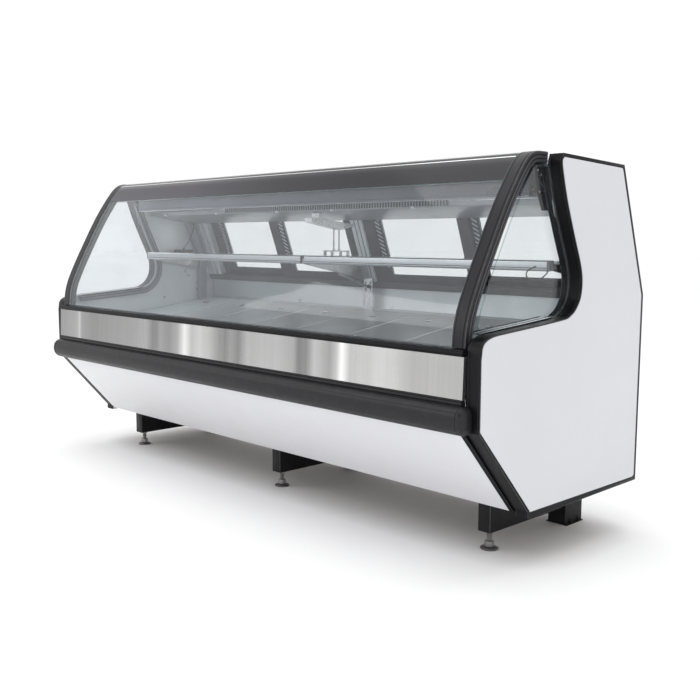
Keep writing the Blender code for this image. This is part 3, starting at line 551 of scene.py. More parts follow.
M["seal"] = plain("grey_gasket", (0.075, 0.077, 0.083), 0.55, spread=0.12, grain=0.2)
# Grey channel used at the left end only; the right end's channel is black moulding, so this grey is painted light.
M["channel"] = plain("glazing_channel_lit_grey", (0.215, 0.228, 0.272), 0.38, spread=0.10, scale=8.0, grain=0.10)
M["black_paint"] = plain("black_leg_paint", (0.0065, 0.0062, 0.0074), 0.36, spread=0.2, scale=11.0, grain=0.18, grain_scale=260, wear=0.35,
                         wear_colour=(0.016, 0.016, 0.0175), Specular_IOR_Level=0.16)
M["paint_worn"] = plain("leg_paint_edge", (0.012, 0.012, 0.013), 0.32, spread=0.2, wear=0.6, wear_colour=(0.05, 0.05, 0.05))
M["rubber"] = plain("black_lead_rubber", (0.018, 0.018, 0.020), 0.5, spread=0.2, grain=0.25, grain_scale=1500)
M["clip"] = plain("white_clip_nylon", (0.86, 0.88, 0.88), 0.45, spread=0.04, grain=0.1)
M["glass_front"] = glass("front_pane", (0.940, 0.952, 0.960), 1.0, 0.020)
M["glass_side"] = glass("side_pane", (0.945, 0.962, 0.968), 1.0, 0.008)
M["glass_door"] = glass("door_pane", (0.918, 0.930, 0.930), 0.8, 0.006)
M["glass_shelf"] = glass("shelf_pane", (0.94, 0.965, 0.960), 1.0, 0.010)


def glass_edge(name, base):
    g = Graph(name)
    streak = g.noise(60.0, 4.0, 0.6, (1, 1, 4))
    colour = g.blend(g.span(streak, 0.0, 1.0), scaled(base, 0.8), scaled(base, 1.15))
    return g.close(g.shader(colour, g.span(streak, 0.10, 0.28), 0.0, Coat_Weight=0.3), g.bump(streak, 0.15, 0.0003))


M["edge_green"] = glass_edge("ground_glass_edge", (0.42, 0.56, 0.53))
M["edge_dark"] = glass_edge("shaded_glass_edge", (0.16, 0.20, 0.20))


def fascia_steel():
    """Satin stainless sheet whose grain runs upright, with painted reflections: soft bands of light and shade painted
    into its colour along its length, plain at the right end.
    """
    g = Graph("stainless_fascia")
    x = g.axis("X")
    t = g.span(x, 0.0, 1.0, -1.2, 1.2)
    # Painted reflections: stops of light and dark set along the fascia's length.
    bands = g.ramp(t, [(0.000, 0.31), (0.050, 0.37), (0.066, 0.40), (0.074, 0.58), (0.083, 0.33), (0.125, 0.29), (0.240, 0.33), (0.312, 0.40), (0.332, 0.24), (0.345, 0.25),
                       (0.354, 0.35), (0.380, 0.27), (0.408, 0.41), (0.427, 0.88), (0.448, 0.51), (0.468, 0.61), (0.500, 0.47), (0.520, 0.33), (0.535, 0.26), (0.552, 0.34), (0.570, 0.24),
                       (0.592, 0.44), (0.660, 0.49), (0.698, 0.39), (0.708, 0.22), (0.727, 0.26), (0.742, 0.53), (0.772, 0.35), (0.787, 0.53), (0.796, 1.00), (0.812, 0.55), (0.870, 0.62)])
    right = g.span(x, 0.0, 1.0, 0.90, 1.02)
    bands = g.blend(right, bands, (0.455, 0.453, 0.450))
    drift = g.noise(5.5, 3.0, 0.55, (1, 0.02, 0.02), move=(3.3, 0, 0))
    fine = g.noise(26.0, 3.0, 0.6, (1, 0.008, 0.008), move=(1.3, 0, 0))
    hair = g.noise(300.0, 2.0, 0.6, (1, 0.0015, 0.0015), move=(0.3, 0, 0))
    smear = g.noise(3.0, 4.0, 0.6, (1, 0.3, 0.6), move=(5.3, 2, 1))
    colour = g.blend(g.span(drift, 0.0, 0.5), bands, g.blend(1.0, bands, (0.80, 0.80, 0.79), "MULTIPLY"))
    colour = g.blend(g.span(fine, 0.0, 0.16, 0.42, 0.70), colour, (0.30, 0.30, 0.30))
    colour = g.blend(g.span(hair, 0.0, 0.06, 0.45, 0.75), colour, (0.95, 0.94, 0.92))
    shader = g.shader(colour, g.maths("ADD", g.span(fine, 0.25, 0.32), g.span(smear, -0.03, 0.04)), 0.88)
    return g.close(shader, g.bump(hair, 0.04, 0.0002))


M["stainless"] = fascia_steel()


def zinc(name, base, rough=0.34):
    g = Graph(name)
    flakes = g.voronoi(70.0, out="Color")
    cloud = g.noise(12.0, 4.0, 0.6)
    tone = g.node("RGBToBW")
    g.link(flakes, tone.inputs[0])
    colour = g.blend(g.span(tone.outputs[0], 0.0, 1.0, 0.0, 1.0), scaled(base, 0.82), scaled(base, 1.15))
    colour = g.blend(g.span(cloud, 0.0, 0.35, 0.5, 0.75), colour, (base[0] * 0.95, base[1] * 0.90, base[2] * 0.78))
    shader = g.shader(colour, g.span(cloud, rough - 0.08, rough + 0.12), 0.92)
    return g.close(shader, g.bump(g.noise(300.0, 2.0, 0.6), 0.12, 0.0003))


M["zinc"] = zinc("zinc_plate", (0.60, 0.61, 0.62))
M["zinc_dark"] = zinc("galvanised_sheet", (0.42, 0.43, 0.44), 0.42)
M["screw"] = brushed("screw_steel", (0.74, 0.74, 0.75), 0.24, 0, strength=0.1, fine=900)
M["copper"] = plain("copper_pipe", (0.62, 0.30, 0.19), 0.30, 1.0, spread=0.15, scale=20.0, grain=0.1)
M["fin"] = brushed("aluminium_fins", (0.62, 0.64, 0.66), 0.30, 2, strength=0.1)


def band_gloss():
    """Dark printed glass: near-black low on the front, with a painted highlight line and a paler painted sheen where it
    turns over the corner, and a painted reflection that darkens it towards the right end.
    """
    g = Graph("dark_glass_band")
    z = g.axis("Z")
    speck = g.noise(90.0, 3.0, 0.6)
    streak = g.noise(7.0, 3.0, 0.6, (0.03, 1, 1))
    base = g.ramp(g.span(z, 0.0, 1.0, 1.168, 1.257), [(0.0, (0.100, 0.097, 0.112)), (0.30, (0.084, 0.080, 0.092)),
                                                       (0.60, (0.076, 0.072, 0.082)), (0.74, (0.115, 0.112, 0.120)), (0.80, (0.135, 0.132, 0.140)),
                                                       (0.812, (0.36, 0.355, 0.365)), (0.824, (0.15, 0.147, 0.155)), (0.93, (0.24, 0.24, 0.25)),
                                                       (0.97, (0.50, 0.50, 0.51)), (1.0, (0.62, 0.62, 0.63))])
    painted_reflection_fade = g.ramp(g.span(g.axis("X"), 0.0, 1.0, -1.15, 1.15), [(0.0, 1.0), (0.27, 0.95), (0.40, 0.70), (0.55, 0.46), (0.73, 0.38), (1.0, 0.38)])
    base = g.blend(1.0, base, painted_reflection_fade, "MULTIPLY")
    colour = g.blend(g.span(streak, 0.0, 0.16), base, (0.070, 0.068, 0.075))
    shader = g.shader(colour, g.span(speck, 0.14, 0.20), 0.0, IOR=1.45, Specular_IOR_Level=0.16)
    return g.close(shader, g.bump(streak, 0.05, 0.001))


M["band"] = band_gloss()


def lamp(name, colour, strength):
    g = Graph(name)
    cloud = g.noise(24.0, 3.0, 0.5, (0.2, 1, 1))
    tone = g.blend(g.span(cloud, 0.0, 1.0), scaled(colour, 0.94), colour)
    shader = g.shader(tone, g.span(cloud, 0.22, 0.34), 0.0)
    g.link(tone, shader.inputs["Emission Color"])
    shader.inputs["Emission Strength"].default_value = strength
    return g.close(shader)


M["tube"] = lamp("frosted_lamp_tube", (0.93, 0.96, 0.97), 0.35)
M["diffuser"] = lamp("lamp_diffuser", (0.88, 0.92, 0.93), 0.12)

M["abs_groove"] = plain("moulding_rim", (0.010, 0.0098, 0.0112), 0.44, spread=0.15, grain=0.18, grain_scale=500, **BLACK)
M["white_edge"] = plain("cut_sheet_edge", (0.66, 0.665, 0.685), 0.30, spread=0.06, scale=20.0, grain=0.1, wear=0.4, wear_colour=(0.80, 0.80, 0.80))
M["channel_lip"] = plain("channel_lip", (0.12, 0.125, 0.135), 0.34, spread=0.12, scale=14.0, grain=0.12)
M["aluminium_y"] = brushed("cutout_aluminium", (0.80, 0.83, 0.84), 0.27, 1, band=0.06, strength=0.08)
M["deck_edge"] = brushed("rolled_rim_steel", (0.66, 0.68, 0.69), 0.24, 0, band=0.04, metal=0.8, strength=0.05)
M["lamp_shell"] = brushed("lamp_channel_grey", (0.45, 0.47, 0.49), 0.30, 0, band=0.08, metal=0.8, strength=0.10)
M["green"] = plain("rocker_green", (0.02, 0.30, 0.08), 0.25, spread=0.1, grain=0.05)
GLASS_PTS = [(-0.3485, 0.6895), (-0.3440, 0.7400), (-0.3310, 0.7900), (-0.3100, 0.8400), (-0.2820, 0.8970),
             (-0.2470, 0.9630), (-0.2080, 1.0350), (-0.1690, 1.1020), (-0.1270, 1.1650), (-0.0980, 1.2040),
             (-0.0760, 1.2290), (-0.0520, 1.2470), (-0.0240, 1.2555), (0.0030, 1.2568), (0.0300, 1.2565)]
M["profile_side"] = plain("profile_flank", (0.040, 0.038, 0.043), 0.36, spread=0.14, scale=6.0, stretch=(1, 0.35, 0.35), grain=0.12, grain_scale=420)
M["trim_bright"] = brushed("clamp_trim", (0.85, 0.86, 0.87), 0.18, 0, band=0.05, metal=0.9, strength=0.05)
M["steel_edge"] = brushed("sheared_steel_edge", (0.50, 0.50, 0.50), 0.32, 0, band=0.08, strength=0.15)
M["bumper_cap"] = plain("bumper_end_moulding", (0.017, 0.016, 0.0185), 0.42, spread=0.12, scale=20.0, grain=0.2, grain_scale=800, **BLACK)
M["canopy_lip"] = brushed("canopy_lip_bright", (0.66, 0.68, 0.70), 0.22, 0, band=0.05, metal=0.85, strength=0.05)
M["hole_rim"] = brushed("finger_hole_rim", (0.86, 0.87, 0.88), 0.18, 2, band=0.04, metal=0.9, strength=0.05)
M["canopy_top"] = plain("canopy_roof_paint", (0.68, 0.686, 0.705), 0.38, spread=0.05, scale=1.5, grain=0.08, grain_scale=500)
M["track"] = plain("door_track_grey", (0.085, 0.089, 0.097), 0.36, 0.1, spread=0.10, scale=6.0, stretch=(0.1, 1, 1), grain=0.12, grain_scale=400, grain_stretch=(0.05, 1, 1))
# Dark finish for the insides of the grooves in the aluminium door posts: painted shade.
M["post_groove_painted_shade"] = brushed("post_groove_painted_shade", (0.13, 0.14, 0.16), 0.34, 2, band=0.03, strength=0.03)
# Grip ribs much paler than the dark door frame they belong to, so they show as bright streaks where little light falls:
# painted highlight.
M["door_rib"] = plain("grip_rib_painted_light", (0.62, 0.64, 0.69), 0.34, spread=0.10, scale=30.0, grain=0.12, wear=0.3, wear_colour=(0.45, 0.46, 0.48))
M["edge_shelf"] = glass_edge("shelf_glass_edge", (0.50, 0.62, 0.60))
M["black_steel"] = plain("black_bracket_steel", (0.022, 0.022, 0.024), 0.34, spread=0.15, scale=12.0, grain=0.15, grain_scale=300, wear=0.3, wear_colour=(0.06, 0.06, 0.06))
M["foot"] = zinc("foot_pad_zinc", (0.17, 0.165, 0.165), 0.42)
M["hub"] = zinc("foot_hub_zinc", (0.30, 0.295, 0.295), 0.36)
M["stem"] = zinc("thread_zinc", (0.36, 0.36, 0.365), 0.32)
# A paler copy of the white powder coat for the lower front panel, which faces down towards the floor: painted light.
M["white_front"] = powder("front_panel_coat_lit", (0.735, 0.737, 0.765))
# Near-white zinc for the stay housing, paler than the other zinc so it reads bright in the canopy's shade: painted
# light.
M["stay"] = plain("stay_zinc_painted_light", (0.93, 0.94, 0.94), 0.30, 0.3, spread=0.06, scale=20.0, grain=0.12, grain_scale=500)

M["edge_clear"] = glass("clear_edge", (0.70, 0.78, 0.77), 0.6, 0.06)
M["hole_inside"] = plain("finger_hole_shade", (0.020, 0.022, 0.024), 0.5, 0.2, spread=0.2, grain=0.1)

# Grille bars darker towards the right end by a ramp along the case: painted shade.
M["grille_bar"] = plain("grille_bar_paint", (0.40, 0.42, 0.44), 0.36, 0.2, spread=0.08, scale=9.0, grain=0.1, painted_light_ramp=[(0.0, 1.0), (0.7, 0.75), (1.0, 0.5)])
M["terminal_box"] = plain("terminal_box_grey", (0.030, 0.031, 0.034), 0.42, spread=0.12, grain=0.2, grain_scale=600)

# ------------------------------------------------------------- end bodies
CUT_EDGE = [(0.0190, 1.2300), (0.0180, 1.2170), (0.0270, 1.1810), (0.0530, 1.1030), (0.0990, 0.9950),
            (0.1340, 0.9170), (0.1455, 0.8690), (0.1400, 0.8180), (0.1150, 0.7810), (0.0880, 0.7640),
            (0.0570, 0.7550), (-0.0820, 0.7430), (-0.2190, 0.7330), (-0.2970, 0.7260), (-0.3330, 0.7120),
            (-0.3455, 0.6950)]
# The same edge with more points where it bends, for smooth shading.
SMOOTH_CUT = CUT_EDGE[:1] + catmull(CUT_EDGE[1:], 4)
END_LOW = [(-0.3500, 0.6620), (-0.3500, 0.4540), (-0.1090, 0.1810), (-0.1090, 0.1610), (0.5250, 0.1680), KINK, REAR_TOP]
END_PATH = [(0.027, 1.249)] + SMOOTH_CUT + END_LOW
SKIN_CUT = [(0.0205, 1.2170), (0.0295, 1.1817), (0.0553, 1.1040), (0.1013, 0.9960), (0.1364, 0.9177), (0.1480, 0.8690),
            (0.1424, 0.8172), (0.1167, 0.7792), (0.0888, 0.7616), (0.0572, 0.7525), (-0.0819, 0.7405), (-0.2188, 0.7305),
            (-0.2965, 0.7235), (-0.3318, 0.7098), (-0.3435, 0.6940)]
SKIN = ([(0.0300, 1.2385), (0.0200, 1.2290)] + catmull(SKIN_CUT, 4)
        + [(-0.3478, 0.6620), (-0.3478, 0.4590), (-0.1030, 0.1860), (-0.1000, 0.1800), (0.5130, 0.1810), (0.5170, 0.8080),
           (0.3660, 1.2240)])
n_skin = len(SKIN)
SKIN_ROUND = round_corners(SKIN, {n_skin - 1: 0.012, n_skin - 2: 0.010, n_skin - 3: 0.012, n_skin - 4: 0.008, n_skin - 5: 0.004,
                                  n_skin - 6: 0.008, 0: 0.006}, 5)
DIAG = Vector((PANEL_LOW[0] - PANEL_TOP[0], PANEL_LOW[1] - PANEL_TOP[1]))
DIAG_N = Vector((-DIAG.y, DIAG.x)).normalized()      # towards the inside of the case


def end_rings(side, stations):
    rings = []
    for x, d in stations:
        ring = END_PATH if d == 0 else shrink(END_PATH, d)
        rings.append([V(side * x, a, b) for a, b in ring])
    return rings


for side, tag in ((1, "right"), (-1, "left")):
    bm = bmesh.new()
    # Wall: eased inner arris, two fine beads on the rim, then the seat of the outer skin.
    stations = [(X_IN, 0.0016), (X_IN + 0.0006, 0.0006), (X_IN + 0.0018, 0.0), (1.2100, 0.0), (1.2112, 0.0011), (1.2130, 0.0011),
                (1.2142, 0.0), (1.2470, 0.0), (1.2480, 0.0009), (1.2490, 0.0009), (1.2500, 0.0), (1.2542, 0.0), (1.2554, 0.0005),
                (HALF, 0.0017)]
    rings = end_rings(side, stations)
    mats = [0, 0, 0, 1, 1, 1, 0, 1, 1, 1, 0, 2, 2]
    body_rings = [[bm.verts.new(p) for p in ring] for ring in rings]
    n = len(body_rings[0])
    for j, (a, b) in enumerate(zip(body_rings, body_rings[1:])):
        for i in range(n):
            bm.faces.new((a[i], a[(i + 1) % n], b[(i + 1) % n], b[i])).material_index = mats[j]
    # The inner face takes the paler copy of the liner: painted light.
    inner_cap = bm.faces.new(body_rings[0][::-1])
    inner_cap.material_index = 3
    # The outer face is a rim round the skin's shallow pocket.
    lip = [bm.verts.new(V(side * HALF, a, b)) for a, b in SKIN_ROUND]
    floor_ring = [bm.verts.new(V(side * (HALF - 0.0022), a, b)) for a, b in SKIN_ROUND]
    for i in range(len(lip)):
        k = (i + 1) % len(lip)
        bm.faces.new((lip[i], lip[k], floor_ring[k], floor_ring[i])).material_index = 1
    bm.faces.new(floor_ring).material_index = 1
    rim_edges = []
    for loop in (body_rings[-1], lip):
        for i in range(len(loop)):
            pair = (loop[i], loop[(i + 1) % len(loop)])
            rim_edges.append(bm.edges.get(pair) or bm.edges.new(pair))
    for f in bmesh.ops.triangle_fill(bm, use_beauty=True, edges=rim_edges)["geom"]:
        if isinstance(f, bmesh.types.BMFace):
            f.material_index = 0
    make("end_wall_" + tag, bm, [M["abs"], M["abs_groove"], M["abs_worn"], M["liner_wall_lit"]], replaces="end_body_" + tag, angle=28)

    # Skin: thin sheet with a turned edge, sitting in the black rim.
    bm = bmesh.new()
    base = shrink(SKIN_ROUND, 0.0015)
    loft(bm, [[V(side * x, a, b) for a, b in (base if d == 0 else shrink(base, d))]
              for x, d in ((HALF - 0.0036, 0.0), (HALF - 0.0007, 0.0), (HALF - 0.00025, 0.00025), (HALF - 0.0001, 0.0009),
                           (HALF - 0.0001, 0.0030))], mat=[1, 1, 1, 0], cap_mats=(1, 0))
    make("side_sheet_" + tag, bm, [M["white"], M["white_edge"]], replaces="side_skin_" + tag, angle=24)

    # Glazing channel: a U-strip along the cut-out, grey at the left end and black at the right, the grey being painted
    # light, with a dark rubber bead beside the pane.
    inner = [(0.0210, 1.2120)] + CUT_EDGE[2:13] + [(-0.2700, 0.7285)]
    path = catmull(inner, 4)
    bm = bmesh.new()
    lo, hi = X_IN - 0.0234, X_IN + 0.0019
    for d0, d1, xa, xb, m in ((-0.0010, -0.0285, lo + 0.0012, hi, 0), (-0.0002, -0.0052, lo, lo + 0.0035, 1),
                              (-0.0236, -0.0292, lo - 0.0001, lo + 0.0035, 1), (-0.0110, -0.0140, lo + 0.0003, lo + 0.003, 2)):
        a, b = offset(path, d0), offset(path, d1)
        rings = [[V(side * xa, *p), V(side * xb, *p), V(side * xb, *q), V(side * xa, *q)] for p, q in zip(a, b)]
        loft(bm, rings, mat=m, cap_mats=(m, m))
    make("glazing_channel_" + tag, bm, [M["channel"], M["channel_lip"], M["dark_gap"]] if side < 0 else [M["abs"], M["abs_worn"], M["dark_gap"]],
         bevel=0.0004, segs=1, replaces="end_body_" + tag)

    # Two bright strips on the lower slope of the cut-out, with dark strips at their edges and between them; the
    # innermost dark strip is painted shadow in the gap beside the channel.
    bm = bmesh.new()
    lower = catmull([(0.0500, 0.7540), (-0.0820, 0.7430), (-0.2190, 0.7330), (-0.2900, 0.7268)], 5)
    for xa, xb, rise, m in ((1.1965, 1.2115, 0.0022, 0), (1.1745, 1.1890, 0.0022, 0), (1.2115, 1.2150, 0.0028, 1), (1.1890, 1.1965, 0.0016, 1),
                            (1.1630, 1.1745, 0.0028, 1)):
        top, low = offset(lower, 0.0 + rise), offset(lower, -0.0008)
        rings = [[V(side * xa, *p), V(side * xb, *p), V(side * xb, *q), V(side * xa, *q)] for p, q in zip(top, low)]
        loft(bm, rings, mat=m, cap_mats=(m, m))
    make("cutout_strip_" + tag, bm, [M["aluminium_y"], M["dark_gap"]], bevel=0.0002, segs=1, replaces="end_body_" + tag)

    # Ridged corner strip beside the front panel.
    bm = bmesh.new()
    xa, xb = 1.1877, X_IN + 0.0018
    steps = [(xa, 0.0006), (xa + 0.0012, 0.0), (xa + 0.0042, 0.0), (xa + 0.0050, 0.0016), (xa + 0.0064, 0.0016), (xa + 0.0072, 0.0),
             (xa + 0.0102, 0.0), (xa + 0.0110, 0.0016), (xa + 0.0124, 0.0016), (xa + 0.0132, 0.0), (xb, 0.0)]
    rings = []
    for x, d in steps:
        n2 = DIAG_N * d
        rings.append([V(side * x, PANEL_TOP[0] + n2.x, PANEL_TOP[1] + n2.y), V(side * x, PANEL_LOW[0] + n2.x, PANEL_LOW[1] + n2.y),
                      V(side * x, PANEL_LOW[0] + 0.0090, PANEL_LOW[1] + 0.0030), V(side * x, PANEL_TOP[0] + 0.0090, PANEL_TOP[1] - 0.0010)])
    loft(bm, rings, mat=0)
    make("corner_strip_" + tag, bm, [M["abs"]], angle=20, replaces="end_body_" + tag)

    # Hinge seat: boss and the plate it is screwed to.
    bm = bmesh.new()
    add_lathe(bm, [(0.0, -0.001), (0.0168, -0.001), (0.0168, 0.0185), (0.0155, 0.0205), (0.0, 0.0205)],
              V(side * (X_IN + 0.001), *PIVOT), (-side, 0, 0), 32, 0)
    make("hinge_boss_" + tag, bm, [M["zinc"]], bevel=0.0004, replaces="end_body_" + tag)
    bm = bmesh.new()
    plate = round_corners([(0.0330, 1.1820), (0.0870, 1.1860), (0.0870, 1.0700), (0.0660, 1.0600), (0.0560, 1.0900)], 0.006, 4)
    loft(bm, [[V(side * x, a, b) for a, b in (plate if d == 0 else shrink(plate, d))]
              for x, d in ((X_IN + 0.0004, 0.0), (X_IN - 0.0024, 0.0), (X_IN - 0.0030, 0.0006))], mat=0)
    box = round_corners([(0.0610, 1.1250), (0.0850, 1.1250), (0.0850, 1.0740), (0.0700, 1.0700)], 0.003, 3)
    loft(bm, [[V(side * x, a, b) for a, b in (box if d == 0 else shrink(box, d))]
              for x, d in ((X_IN - 0.0025, 0.0), (X_IN - 0.0160, 0.0), (X_IN - 0.0175, 0.0012))], mat=1)
    for a, b in ((0.0775, 1.1330), (0.0775, 1.1780)):
        add_screw(bm, V(side * (X_IN - 0.0028), a, b), (-side, 0, 0), 0.0040, 2, 3)
    make("hinge_plate_" + tag, bm, [M["zinc_dark"], M["seal"], M["screw"], M["dark_gap"]], bevel=0.0002, segs=1,
         replaces="end_body_" + tag)
    # Black end cover of the coil with its terminal box, on the side of the lamp leads.
    if side > 0:
        bm = bmesh.new()
        cover = [(1.0960, 1.2040), (1.1868, 1.2040), (1.1868, 1.0840), (1.1300, 1.0840), (1.1040, 1.1500)]
        loft(bm, [[V(p, s, q) for p, q in (cover if d == 0 else shrink(cover, d))] for s, d in ((0.1012, 0.0006), (0.1020, 0.0), (0.1034, 0.0))], mat=0)
        lid = round_corners([(1.1180, 1.1480), (1.1700, 1.1480), (1.1700, 1.0880), (1.1400, 1.0880)], 0.004, 4)
        loft(bm, [[V(p, s, q) for p, q in (lid if d == 0 else shrink(lid, d))] for s, d in ((0.0870, 0.0016), (0.0884, 0.0), (0.1018, 0.0))], mat=1)
        for p, q in ((1.1300, 1.1420), (1.1630, 1.1420), (1.1630, 1.0950)):
            add_screw(bm, V(p, 0.0870, q), (0, -1, 0), 0.0030, 2, 3)
        add_lathe(bm, [(0.0055, -0.0004), (0.0105, -0.0004), (0.0105, 0.0016), (0.0098, 0.0022), (0.0062, 0.0022), (0.0055, 0.0016)], V(1.1150, 0.1012, 1.1710), (0, -1, 0), 28, 2)
        add_hex(bm, V(1.1150, 0.1012, 1.1710), (0, -1, 0), 0.0090, -0.0004, 0.0050, 3)
        make("coil_cover_" + tag, bm, [M["abs"], M["terminal_box"], M["zinc"], M["dark_gap"]], bevel=0.0003, segs=1, replaces="end_body_" + tag)
    # The small bolts of the tub's end wall.
    bm = bmesh.new()
    spots = [(0.40, 0.735), (0.40, 0.770), (0.20, 0.700), (-0.22, 0.640)]
    for a, b in spots:
        add_hex(bm, V(side * (X_IN - 0.0002), a, b), (-side, 0, 0), 0.0100, -0.0005, 0.0034, 0)
        add_lathe(bm, [(0.0, 0.0), (0.0072, 0.0), (0.0072, 0.0010), (0.0, 0.0012)], V(side * (X_IN - 0.0002), a, b), (-side, 0, 0), 20, 0)
    make("end_bolts_" + tag, bm, [M["zinc"]], bevel=0.0003, segs=1, replaces="end_body_" + tag)

    # Side pane with ground, slightly green edges.
    behind = offset(catmull(GLASS_PTS, 3), 0.0325)
    front_edge = [p for p in behind if 0.742 < p[1] < 1.2150 and p[0] < -0.020]
    fine = catmull([(p[0] - 0.0006, p[1] + 0.0004) for p in CUT_EDGE[2:11]] + [(p[0], p[1] + 0.0008) for p in CUT_EDGE[11:13]], 4)
    outline = [(-0.2895, 0.7285)] + front_edge + [(-0.0050, 1.2145), (0.0165, 1.2145)] + fine
    bm = bmesh.new()
    lo, hi = X_IN + 0.0013, X_IN + 0.0071
    rings = []
    for x, d in ((lo, 0.0007), (lo + 0.0006, 0.0001), (hi - 0.0006, 0.0001), (hi, 0.0007)):
        rings.append([V(side * x, a, b) for a, b in shrink(outline, d)])
    loft(bm, rings, mat=1, cap_mats=(0, 0))
    make("side_pane_" + tag, bm, [M["glass_side"], M["edge_clear"]], replaces="side_glass_" + tag, angle=25)

# ------------------------------------------------- front glass and its frames
FRAME_IN, FRAME_OUT, FRAME_DEPTH = 1.1490, 1.1970, 0.034
GLASS = catmull(GLASS_PTS, 6)


def cut_path(path, lo, hi, tail=False):
    out = []
    for a, b in zip(path, path[1:]):
        for z in (lo, hi):
            if a[1] < z <= b[1]:
                t = (z - a[1]) / (b[1] - a[1])
                out.append((a[0] + t * (b[0] - a[0]), z))
        if lo < b[1] < hi or (tail and b[1] >= lo and b[0] > -0.06):
            if not out or math.dist(out[-1], b) > 0.002:
                out.append(b)
    return out


def along(path, section, bm, mat_of=None, caps=(0, 0)):
    """Carry a closed (x, depth) section along a (station, z) path."""
    cols = [offset(path, d) for _, d in section]
    rings = [[V(section[k][0], *cols[k][i]) for k in range(len(section))] for i in range(len(path))]
    made = [[bm.verts.new(p) for p in ring] for ring in rings]
    n = len(section)
    for a, b in zip(made, made[1:]):
        for k in range(n):
            f = bm.faces.new((a[k], a[(k + 1) % n], b[(k + 1) % n], b[k]))
            f.material_index = mat_of[k] if mat_of else 0
    f, g = bm.faces.new(made[0][::-1]), bm.faces.new(made[-1])
    f.material_index, g.material_index = caps


for side, tag in ((1, "right"), (-1, "left")):
    a, b = FRAME_IN, FRAME_OUT
    # Extruded frame: eased arrises, a bead and a groove down its face, two grooves on its flank; the bottoms of the
    # grooves are painted near-black as shade.
    section = [(a, 0.0030), (a + 0.0010, 0.0008), (a + 0.0026, 0.0002), (a + 0.0058, 0.0002), (a + 0.0064, 0.0012), (a + 0.0074, 0.0012),
               (a + 0.0080, 0.0001), (b - 0.0100, 0.0001), (b - 0.0092, 0.0013), (b - 0.0080, 0.0013), (b - 0.0072, 0.0001),
               (b - 0.0028, 0.0002), (b - 0.0010, 0.0008), (b, 0.0028),
               (b, 0.0110), (b - 0.0014, 0.0117), (b - 0.0014, 0.0133), (b, 0.0140), (b, 0.0215), (b - 0.0014, 0.0222),
               (b - 0.0014, 0.0238), (b, 0.0245), (b, FRAME_DEPTH - 0.0018), (b - 0.0016, FRAME_DEPTH), (a + 0.0012, FRAME_DEPTH), (a, FRAME_DEPTH - 0.0014)]
    mats = [1, 1, 0, 0, 2, 0, 0, 0, 2, 0, 0, 1, 1, 0, 0, 2, 0, 3, 0, 2, 0, 3, 1, 0, 0, 0]
    section = [(side * x, d) for x, d in section]
    bm = bmesh.new()
    along(GLASS, section, bm, mats, (3, 3))
    make("lid_frame_" + tag, bm, [M["profile"], M["profile_worn"], M["dark_gap"], M["profile_side"]], "front_glass_lid",
         angle=26, replaces="glass_frame_" + tag)
    # Arm to the hinge, with its joint and cover.
    bm = bmesh.new()
    cy, cz = PIVOT
    arm = round_corners([(-0.020, 1.2350), (0.0280, 1.2350), (cy + 0.012, cz + 0.018), (cy + 0.020, cz + 0.004),
                         (cy + 0.016, cz - 0.014), (cy + 0.002, cz - 0.021), (cy - 0.014, cz - 0.016), (-0.0120, 1.1900)],
                        {2: 0.012, 3: 0.010, 4: 0.012, 5: 0.012, 6: 0.012, 7: 0.02}, 4)
    loft(bm, [[V(side * x, p, q) for p, q in (arm if d == 0 else shrink(arm, d))]
              for x, d in ((1.1502, 0.0012), (1.1514, 0.0), (1.1778, 0.0), (1.1790, 0.0012))], mat=[1, 0, 1], cap_mats=(0, 0))
    for k in range(3):
        t = 0.25 + 0.24 * k
        add_screw(bm, V(side * 1.1788, -0.012 + t * (cy + 0.012), 1.2150 + t * (cz - 1.2150)), (side, 0, 0), 0.0034, 2, 3)
    add_lathe(bm, [(0.0, 0.0), (0.0105, 0.0), (0.0105, 0.0016), (0.0092, 0.0026), (0.0, 0.0026)], V(side * 1.1502, cy, cz), (-side, 0, 0), 28, 2)
    add_hex(bm, V(side * 1.1480, cy, cz), (-side, 0, 0), 0.0120, 0.0, 0.0046, 2)
    make("lid_arm_" + tag, bm, [M["profile"], M["profile_worn"], M["zinc"], M["dark_gap"]], "front_glass_lid", angle=30,
         replaces="glass_frame_" + tag)
    # Foot of the frame: black stop and rubber buffer on the sill.
    bm = bmesh.new()
    add_prism(bm, [(-0.3440, 0.6905), (-0.3150, 0.6905), (-0.3150, 0.6980), (-0.3180, 0.7000), (-0.3400, 0.7000)],
              side * (a + 0.0060), side * (b - 0.0080), 0)
    make("lid_stop_" + tag, bm, [M["rubber"]], "front_glass_lid", bevel=0.0008, replaces="glass_frame_" + tag)

# Curved pane and the dark printed band, each with a ground edge all round.
lower = cut_path(GLASS, 0.6900, 1.168)
lower = [GLASS[0]] + lower if lower[0][1] > 0.6897 else lower
for name, path, d0, d1, mats, half, replaced in (
        ("front_pane", lower, 0.0012, 0.0072, [M["glass_front"], M["edge_dark"]], 1.1482, "front_glass"),
        ("dark_band", cut_path(GLASS, 1.1686, 2.0, True), 0.0002, 0.0072, [M["band"], M["edge_dark"]], 1.1482, "glass_top_band")):
    bm = bmesh.new()
    e = 0.0006
    section = [(-half, d0 + e), (-half + e, d0), (0.0, d0), (half - e, d0), (half, d0 + e), (half, d1 - e), (half - e, d1), (-half + e, d1), (-half, d1 - e)]
    along(path, section, bm, [1, 0, 0, 1, 1, 1, 0, 1, 1], (1, 1))
    make(name, bm, mats, "front_glass_lid", angle=25, replaces=replaced)

